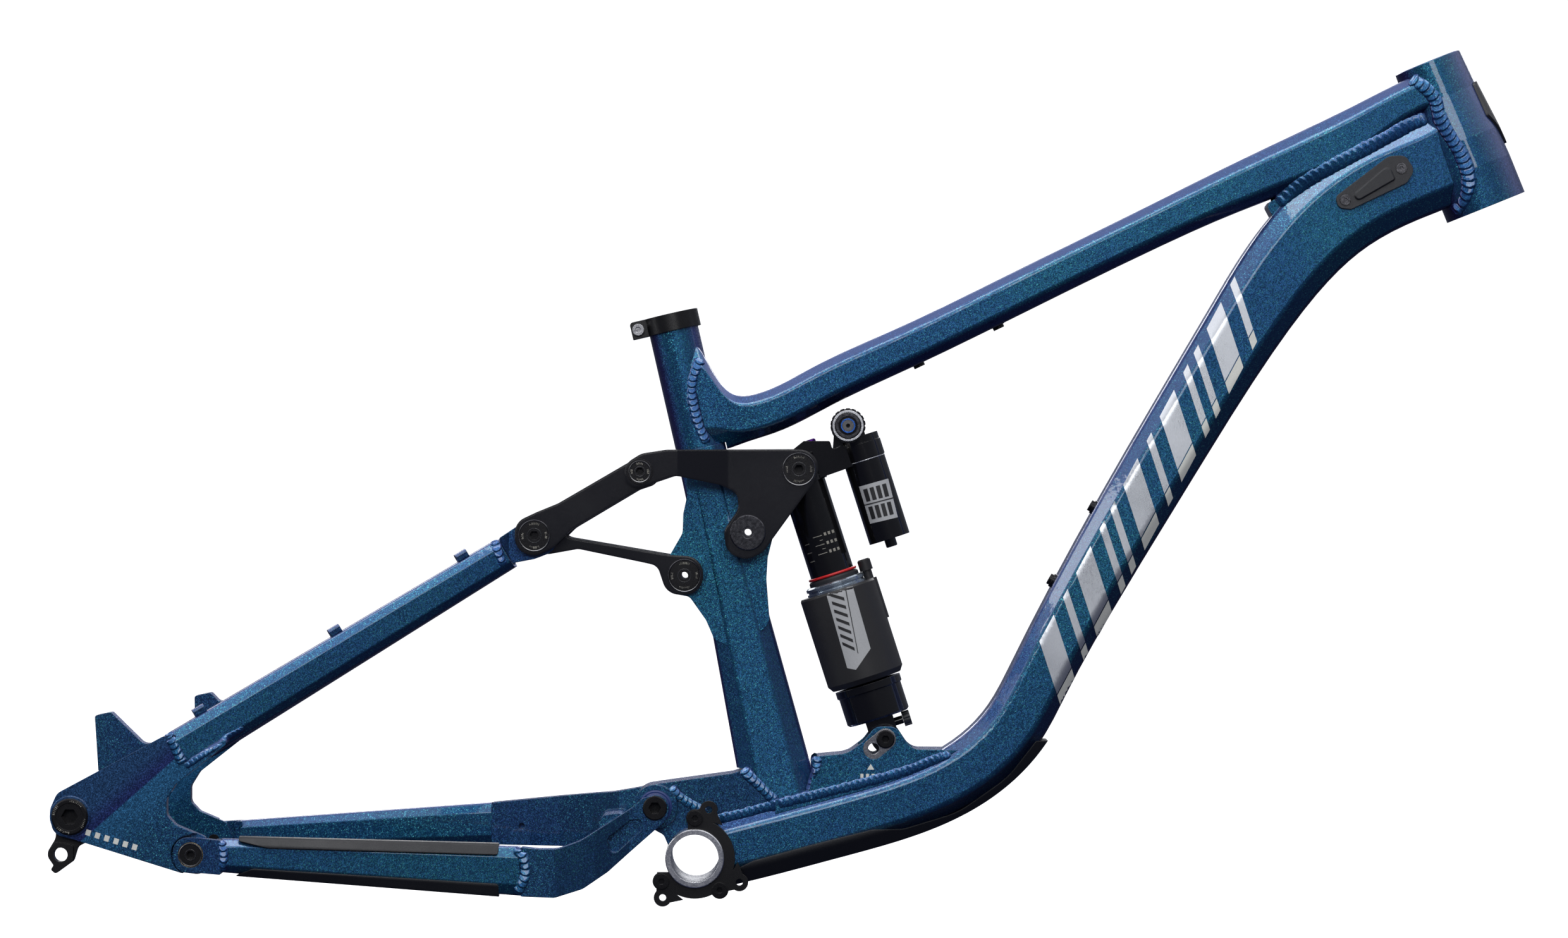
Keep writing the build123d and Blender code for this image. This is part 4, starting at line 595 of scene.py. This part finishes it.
side_weld("weld_dropout", [(-373.5, 93), (-371, 88), (-368, 82), (-365, 76), (-362.5, 71)],
          ["dropout_right", "seatstay_right", "dropout_left", "seatstay_left"], "seatstay", 8.0, 4.2, 1.6)
side_weld("weld_gusset", [(-361, 69), (-352, 75.5), (-341, 83), (-330, 90), (-320, 95.5)],
          ["dropout_right", "seatstay_right", "dropout_left", "seatstay_left"], "seatstay", 5.5, 3.6, 1.2)
side_weld("weld_eye", [(-144, 229), (-142.5, 224), (-140, 218), (-137, 211)],
          ["seatstay_right", "seatstay_eyes", "seatstay_left"], "seatstay", 7.5, 4.2, 1.5)
side_weld("weld_stay_end", [(-335, 16.5), (-334, 11), (-333.5, 5), (-334, -1), (-335, -6)],
          ["chainstay_right", "horst_end_right"], "chainstay", 7.0, 4.0, 1.4, sides=(DRIVE,))
side_weld("weld_stay_end_far", [(-335, 19.5), (-334, 14), (-333.5, 9), (-335, 1)],
          ["chainstay_left", "horst_end_left"], "chainstay", 7.0, 4.0, 1.4, sides=(FAR,))
side_weld("weld_yoke", [(-127, 9.5), (-123, 3), (-121, -5), (-122, -14), (-127, -24)],
          ["chainstay_right", "chainstay_yoke"], "chainstay", 8.5, 4.4, 1.6, sides=(DRIVE,))
side_weld("weld_yoke_far", [(-151, 35), (-149.5, 30), (-149.5, 22), (-151, 15.5)],
          ["chainstay_left", "chainstay_yoke"], "chainstay", 7.5, 4.2, 1.5, sides=(FAR,))


# ---------------------------------------------------------------- graphics and small details
def face_y(name, sign=DRIVE):
    """Outermost Y of a node, millimetres."""
    low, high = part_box(name)
    return (low[1] if sign < 0 else high[1]) / MM


def bar_patches(name, bars, nodes, body, material, lift=0.16, spacing=2.6, sign=DRIVE):
    target = surface(*nodes)
    for number, corners in enumerate(bars):
        patch(f"{name}_{number}", corners, nodes, body, material, sign=sign, lift=lift, spacing=spacing,
              target=target)


# Slanted foil bars on the down tube, in the tube's own directions
DECAL_START = (266.9, 155.5)
ALONG = (0.473, 0.881)
OVER = (-0.881, 0.473)


def on_tube(u, v):
    return (DECAL_START[0] + ALONG[0] * u + OVER[0] * v, DECAL_START[1] + ALONG[1] * u + OVER[1] * v)


def slanted(u, width, low, high, slant):
    """Parallelogram across the tube from v = low to v = high, leaning along the tube."""
    corners = ((u, low), (u + width, low), (u + width + slant, high), (u + slant, high))
    return [on_tube(*corner) for corner in corners]


FOIL_LIFT = 0.28            # mm, clears the tube facets
LEAN = 0.95                 # slant along the tube per millimetre across it
FOIL_BARS = [(-24, 22), (12, 7), (32, 22), (68, 7), (84, 7), (104, 22), (140, 7), (160, 22), (196, 7),
             (212, 7), (232, 22), (268, 7)]      # start along the tube, width
FOIL_LOW, FOIL_HIGH = -12.5, 16.5                # across the tube
PRINT_LOW, PRINT_HIGH = -19.5, -13.2
foil, print_ends = [], []
for u, width in FOIL_BARS:
    foil.append(slanted(u + FOIL_LOW * LEAN, width, FOIL_LOW, FOIL_HIGH, (FOIL_HIGH - FOIL_LOW) * LEAN))
    print_ends.append(slanted(u + PRINT_LOW * LEAN, width, PRINT_LOW, PRINT_HIGH,
                              (PRINT_HIGH - PRINT_LOW) * LEAN))
for sign, side in ((DRIVE, "right"), (FAR, "left")):
    bar_patches(f"decal_foil_{side}", foil, ["down_tube"], "front_triangle", DECAL,
                lift=FOIL_LIFT, spacing=1.7, sign=sign)
    bar_patches(f"decal_print_{side}", print_ends, ["down_tube"], "front_triangle", CREAM,
                lift=FOIL_LIFT, spacing=1.5, sign=sign)

# Short printed bars on the right dropout and under the right flip chip
dropout_bars = []
for k in range(6):
    x, z = -432 + 6.6 * k, 20.6 - 2.05 * k
    dropout_bars.append([(x, z), (x + 3.4, z - 1.05), (x + 4.6, z + 2.9), (x + 1.2, z + 3.95)])
bar_patches("dropout_print", dropout_bars, ["dropout_right"], "seatstay", CREAM, spacing=1.6)
chip_bars = []
for k in range(4):
    left, right = 119.4 + 4.0 * k, 121.6 + 4.0 * k
    chip_bars.append([(left, 57.5), (right, 57.5), (right, 60.4), (left, 60.4)])
chip_bars.append([(124.2, 63.4), (129.4, 63.4), (126.8, 67.6)])
bar_patches("chip_print", chip_bars, ["shock_mount"], "front_triangle", CREAM, spacing=1.4)


def shock_point(forward, along):
    """Side-view point of the shock, measured from its upper pin along and across its axis."""
    x = SHOCK_TOP[0] + FRONT.x * forward + DOWN.x * along
    z = SHOCK_TOP[1] + FRONT.z * forward + DOWN.z * along
    return x, z


def shock_block(corners):
    return [shock_point(f, a) for f, a in corners]


LABEL_LIFT, MARK_LIFT = 0.12, 0.24      # the marks lie on top of the labels, mm

# Air can panel with a dark generic pattern
panel = [(94.0, 192.8), (113.9, 195.6), (126.7, 150.8), (116.2, 135.6), (109.9, 136.7)]
patch("can_panel", panel, ["air_can"], "shock_can", LABEL, lift=LABEL_LIFT, spacing=2.2)


def panel_point(s, t):
    """s across, t down the panel, both 0..1."""
    top = (94.0 + (110.4 - 94.0) * s, 192.8 + (195.1 - 192.8) * s)
    low = (106.4 + (119.4 - 106.4) * s, 146.4 + (146.4 - 146.4) * s)
    return (top[0] + (low[0] - top[0]) * t, top[1] + (low[1] - top[1]) * t)


def panel_quad(s0, s1, t0, t1, lean=0.0):
    return [panel_point(s0, t0), panel_point(s1, t0 + lean), panel_point(s1, t1 + lean), panel_point(s0, t1)]


panel_marks = [panel_quad(0.16, 0.74, 0.05 + 0.125 * k, 0.10 + 0.125 * k, 0.09) for k in range(7)]
panel_marks.append(panel_quad(0.86, 0.90, 0.03, 0.98))
bar_patches("can_mark", panel_marks, ["air_can"], "shock_can", CAN_BLACK, lift=MARK_LIFT,
            spacing=1.8)

# Reservoir label: pale block with dark generic bars
label = [(118.6, 267.5), (139.6, 273.4), (146.6, 245.4), (126.7, 240.7)]
patch("reservoir_label", label, ["reservoir"], "shock_body", LABEL, lift=LABEL_LIFT,
      spacing=2.0)


def label_quad(s0, s1, t0, t1):
    corners = []
    for s_part, t_part in ((s0, t0), (s1, t0), (s1, t1), (s0, t1)):
        top = (118.6 + 21.0 * s_part, 267.5 + 5.9 * s_part)
        low = (126.7 + 19.9 * s_part, 240.7 + 4.7 * s_part)
        corners.append((top[0] + (low[0] - top[0]) * t_part, top[1] + (low[1] - top[1]) * t_part))
    return corners


label_marks = [label_quad(0.10 + 0.215 * k, 0.24 + 0.215 * k, t0, t1)
               for k in range(4) for t0, t1 in ((0.10, 0.43), (0.57, 0.90))]
label_marks.append(label_quad(0.0, 1.0, 0.485, 0.515))
bar_patches("label_mark", label_marks, ["reservoir"], "shock_body", CAN_BLACK, lift=MARK_LIFT,
            spacing=1.6)

# Travel marks on the damper body
ticks = []
for along_shock in (50.3, 56.8, 63.2):
    ticks.append(shock_block([(-5.6, along_shock), (1.2, along_shock), (1.2, along_shock + 0.5),
                              (-5.6, along_shock + 0.5)]))
    ticks.append(shock_block([(-12.6, along_shock + 3.4), (-9.4, along_shock + 3.4),
                              (-9.4, along_shock + 3.9), (-12.6, along_shock + 3.9)]))
    for k in range(3):
        start = 2.8 + 3.0 * k
        ticks.append(shock_block([(start, along_shock - 1.1), (start + 1.7, along_shock - 1.1),
                                  (start + 1.7, along_shock + 1.1), (start, along_shock + 1.1)]))
for along_shock in (53.6, 60.0):
    ticks.append(shock_block([(-1.4, along_shock), (0.8, along_shock), (0.8, along_shock + 0.4),
                              (-1.4, along_shock + 0.4)]))
bar_patches("travel_mark", ticks, ["damper_body"], "shock_body", ETCHING, lift=0.08,
            spacing=1.5)

# Machined ring round the reservoir head
turn_axis = (DOWN.x, 0, DOWN.z)
turn_front = (FRONT.x, 0, FRONT.z)


def shock_ring(name, forward, along_shock, radius, length, proud, material, body):
    x, z = shock_point(forward, along_shock)
    profile = [(radius - 0.4, 0), (radius + proud, 0.15), (radius + proud, length - 0.15),
               (radius - 0.4, length)]
    lathe(name, (x, 0, z), turn_axis, turn_front, profile, material, body, steps=96)


shock_ring("reservoir_band", 47.3, 7.9, 15.2, 0.9, 0.12, BARE_ALLOY, "shock_body")

# Adjuster dial: silver ring, dark shoulder, blue ring, grey face
dial_y = face_y("compression_dial")


def dial_ring(name, inner, outer, y, material, thick=0.22):
    profile = [(inner, 0), (inner, thick), (outer, thick), (outer, 0)]
    lathe(name, (DIAL[0], y, DIAL[1]), (0, -1, 0), (1, 0, 0), profile, material, "compression_adjuster",
          steps=72)


dial_ring("dial_silver", 9.6, 11.2, dial_y + 2.4, BARE_ALLOY)
dial_ring("dial_shoulder", 6.9, 8.9, dial_y + 1.4, AXLE_STEEL)
dial_ring("dial_blue", 4.3, 5.2, dial_y, BLUE)
dial_ring("dial_face", 1.5, 4.2, dial_y, DIAL_GREY, thick=0.12)

# Bleed screw on top of the shock head
lathe("bleed_screw", (84.0, -5.0, 299.4), (-DOWN.x, 0, -DOWN.z), turn_front,
      [(0.0, 1.2), (1.4, 1.2), (1.6, 2.5), (3.0, 2.5), (3.6, 1.9), (3.6, -1.0)], PURPLE, "shock_body")

# Engraved marks round the bolt heads of the right side
ring_marks("axle_marks", AXLE, face_y("rear_axle") - MARK_PROUD, 11.35,
           [(65, 8), (155, 6), (245, 8), (335, 6)], "seatstay", height=1.5, width=0.30)
for label_name, centre, radius, node_name, body_name in (
        ("upper_marks", SHOCK_TOP, 8.9, "trunnion_bolts", "rocker"),
        ("link_marks", LINK, 9.0, "lower_link_axle", "link"),
        ("dog_marks", DOG, 6.0, "dog_pins", "rocker"),
        ("stay_marks", STAY, 8.6, "dogbone_bolts", "dogbone")):
    place, _ = side_hit(surface(node_name), centre[0] + radius, centre[1], DRIVE)
    if place is not None:
        ring_marks(label_name, centre, place.y / MM - MARK_PROUD, radius,
                   [(90, 8), (2, 5), (270, 8), (182, 5)], body_name, height=1.5, width=0.22)


# Polished rims round the bolt heads
def disc_rims(name, centre, radius, node_name, body, inner):
    target = surface(node_name)
    outer_profile = [(radius - 1.0, -0.05), (radius - 0.75, 0.3), (radius - 0.3, 0.35), (radius + 0.02, 0.0),
                     (radius + 0.02, -0.6)]
    inner_profile = [(inner, -0.05), (inner + 0.1, 0.2), (inner + 0.55, 0.2), (inner + 0.65, -0.05)]
    for sign, side in ((DRIVE, "right"), (FAR, "left")):
        flat = radius - 1.1
        place, _ = side_hit(target, centre[0] + flat * 0.6, centre[1] + flat * 0.8, sign)
        if place is None:
            continue
        origin = (centre[0], place.y / MM, centre[1])
        lathe(f"{name}_{side}", origin, (0, sign, 0), (1, 0, 0), outer_profile, BOLT_RIM, body,
              steps=72)
        lathe(f"{name}_inner_{side}", origin, (0, sign, 0), (1, 0, 0), inner_profile, BOLT_RIM, body,
              steps=48)


disc_rims("trunnion_rim", SHOCK_TOP, 11.9, "trunnion_bolts", "rocker", inner=4.6)
disc_rims("link_rim", LINK, 11.9, "lower_link_axle", "link", inner=4.4)
disc_rims("stay_rim", STAY, 11.4, "dogbone_bolts", "dogbone", inner=4.8)
disc_rims("dog_rim", DOG, 8.0, "dog_pins", "rocker", inner=3.2)
disc_rims("rocker_rim", ROCK, 13.9, "rocker_axle", "rocker", inner=5.4)
disc_rims("horst_rim", HORST, 8.4, "horst_bolts", "seatstay", inner=3.4)

# Blue seal with fine grooves in the main pivot bearing, both sides
SEAL_PROFILE = [(8.8, 0), (8.8, 0.25), (9.6, 0.25), (9.8, 0.12), (10.4, 0.12), (10.6, 0.25), (11.2, 0.25),
                (11.4, 0.12), (12.0, 0.12), (12.1, 0.0)]
for sign, side in ((DRIVE, "right"), (FAR, "left")):
    seal_y = face_y("main_pivot_bearings", sign)
    lathe(f"main_pivot_seal_{side}", (MAIN[0], seal_y, MAIN[1]), (0, sign, 0), (1, 0, 0), SEAL_PROFILE,
          SEAL_BLUE, "chainstay")

# ---------------------------------------------------------------- stage, light, camera
STAGE_WHITE, _, stage_shader = new_material("studio_white")
stage_shader.inputs["Base Color"].default_value = (0.80, 0.80, 0.80, 1)
stage_shader.inputs["Roughness"].default_value = 0.9
stage_shader.inputs["Emission Color"].default_value = (1.0, 1.0, 1.0, 1)
stage_shader.inputs["Emission Strength"].default_value = 0.95


def stage_piece(name, vertices, faces):
    mesh = bpy.data.meshes.new(name)
    mesh.from_pydata(vertices, [], faces)
    made = bpy.data.objects.new(name, mesh)
    bpy.context.scene.collection.objects.link(made)
    mesh.materials.append(STAGE_WHITE)
    made.visible_diffuse = False
    made.visible_glossy = False
    made.visible_transmission = False
    made.visible_shadow = False


FLOOR_HEIGHT = -0.30
REACH = 9.0
floor_corners = [(x, y, FLOOR_HEIGHT) for x, y in ((-REACH, -REACH), (REACH, -REACH), (REACH, REACH),
                                                  (-REACH, REACH))]
stage_piece("floor", floor_corners, [(0, 1, 2, 3)])
backdrop = bmesh.new()
bmesh.ops.create_icosphere(backdrop, subdivisions=4, radius=REACH)
backdrop.verts.ensure_lookup_table()
backdrop_faces = [tuple(v.index for v in face.verts) for face in backdrop.faces]
stage_piece("backdrop", [tuple(v.co) for v in backdrop.verts], backdrop_faces)
backdrop.free()

world = bpy.data.worlds.new("studio")
bpy.context.scene.world = world
world.use_nodes = True
world_tree = world.node_tree
sky = world_tree.nodes.new("ShaderNodeTexCoord")
sky_axis = world_tree.nodes.new("ShaderNodeSeparateXYZ")
world_tree.links.new(sky.outputs["Generated"], sky_axis.inputs[0])
elevation = maths(world_tree, "MULTIPLY", maths(world_tree, "ADD", sky_axis.outputs[2], 1.0), 0.5)
sky_colour = ramp(world_tree, elevation, [
    (0.0, (0.03, 0.035, 0.07)), (0.42, (0.035, 0.04, 0.07)), (0.50, (0.08, 0.085, 0.11)),
    (0.64, (0.12, 0.13, 0.16)), (0.76, (1.0, 1.0, 1.05)), (0.93, (0.9, 0.9, 0.95)), (1.0, (0.5, 0.5, 0.55)),
])
world_tree.links.new(sky_colour, world_tree.nodes["Background"].inputs[0])
world_tree.nodes["Background"].inputs[1].default_value = 1.0


def softbox(name, place, aim, size, power):
    data = bpy.data.lights.new(name, "AREA")
    data.shape = "RECTANGLE"
    data.size, data.size_y = size
    data.energy = power
    lamp = bpy.data.objects.new(name, data)
    lamp.location = place
    lamp.rotation_euler = (Vector(aim) - Vector(place)).to_track_quat("-Z", "Y").to_euler()
    bpy.context.scene.collection.objects.link(lamp)


MIDDLE = (0.05, 0, 0.25)    # where the lamps aim
softbox("key_above", (0.1, -1.1, 2.2), MIDDLE, (2.4, 0.7), 26)
softbox("front_fill", (-0.2, -4.9, 1.65), MIDDLE, (3.4, 1.2), 52)
softbox("rear_strip", (-2.4, -0.6, 0.9), (-0.1, 0, 0.2), (0.4, 1.8), 12)
softbox("back_rim", (0.1, 2.6, 1.4), MIDDLE, (3.0, 0.8), 34)

LENS = 129.75               # millimetres on a 36 mm sensor
EYE = (0.0643, -4.1, 0.2803)
camera_data = bpy.data.cameras.new("camera")
camera_data.lens = LENS
camera_data.sensor_width = 36.0
camera = bpy.data.objects.new("camera", camera_data)
camera.location = EYE
camera.rotation_euler = (math.radians(90), 0, 0)
bpy.context.scene.collection.objects.link(camera)
bpy.context.scene.camera = camera
bpy.context.scene.view_settings.view_transform = "Standard"
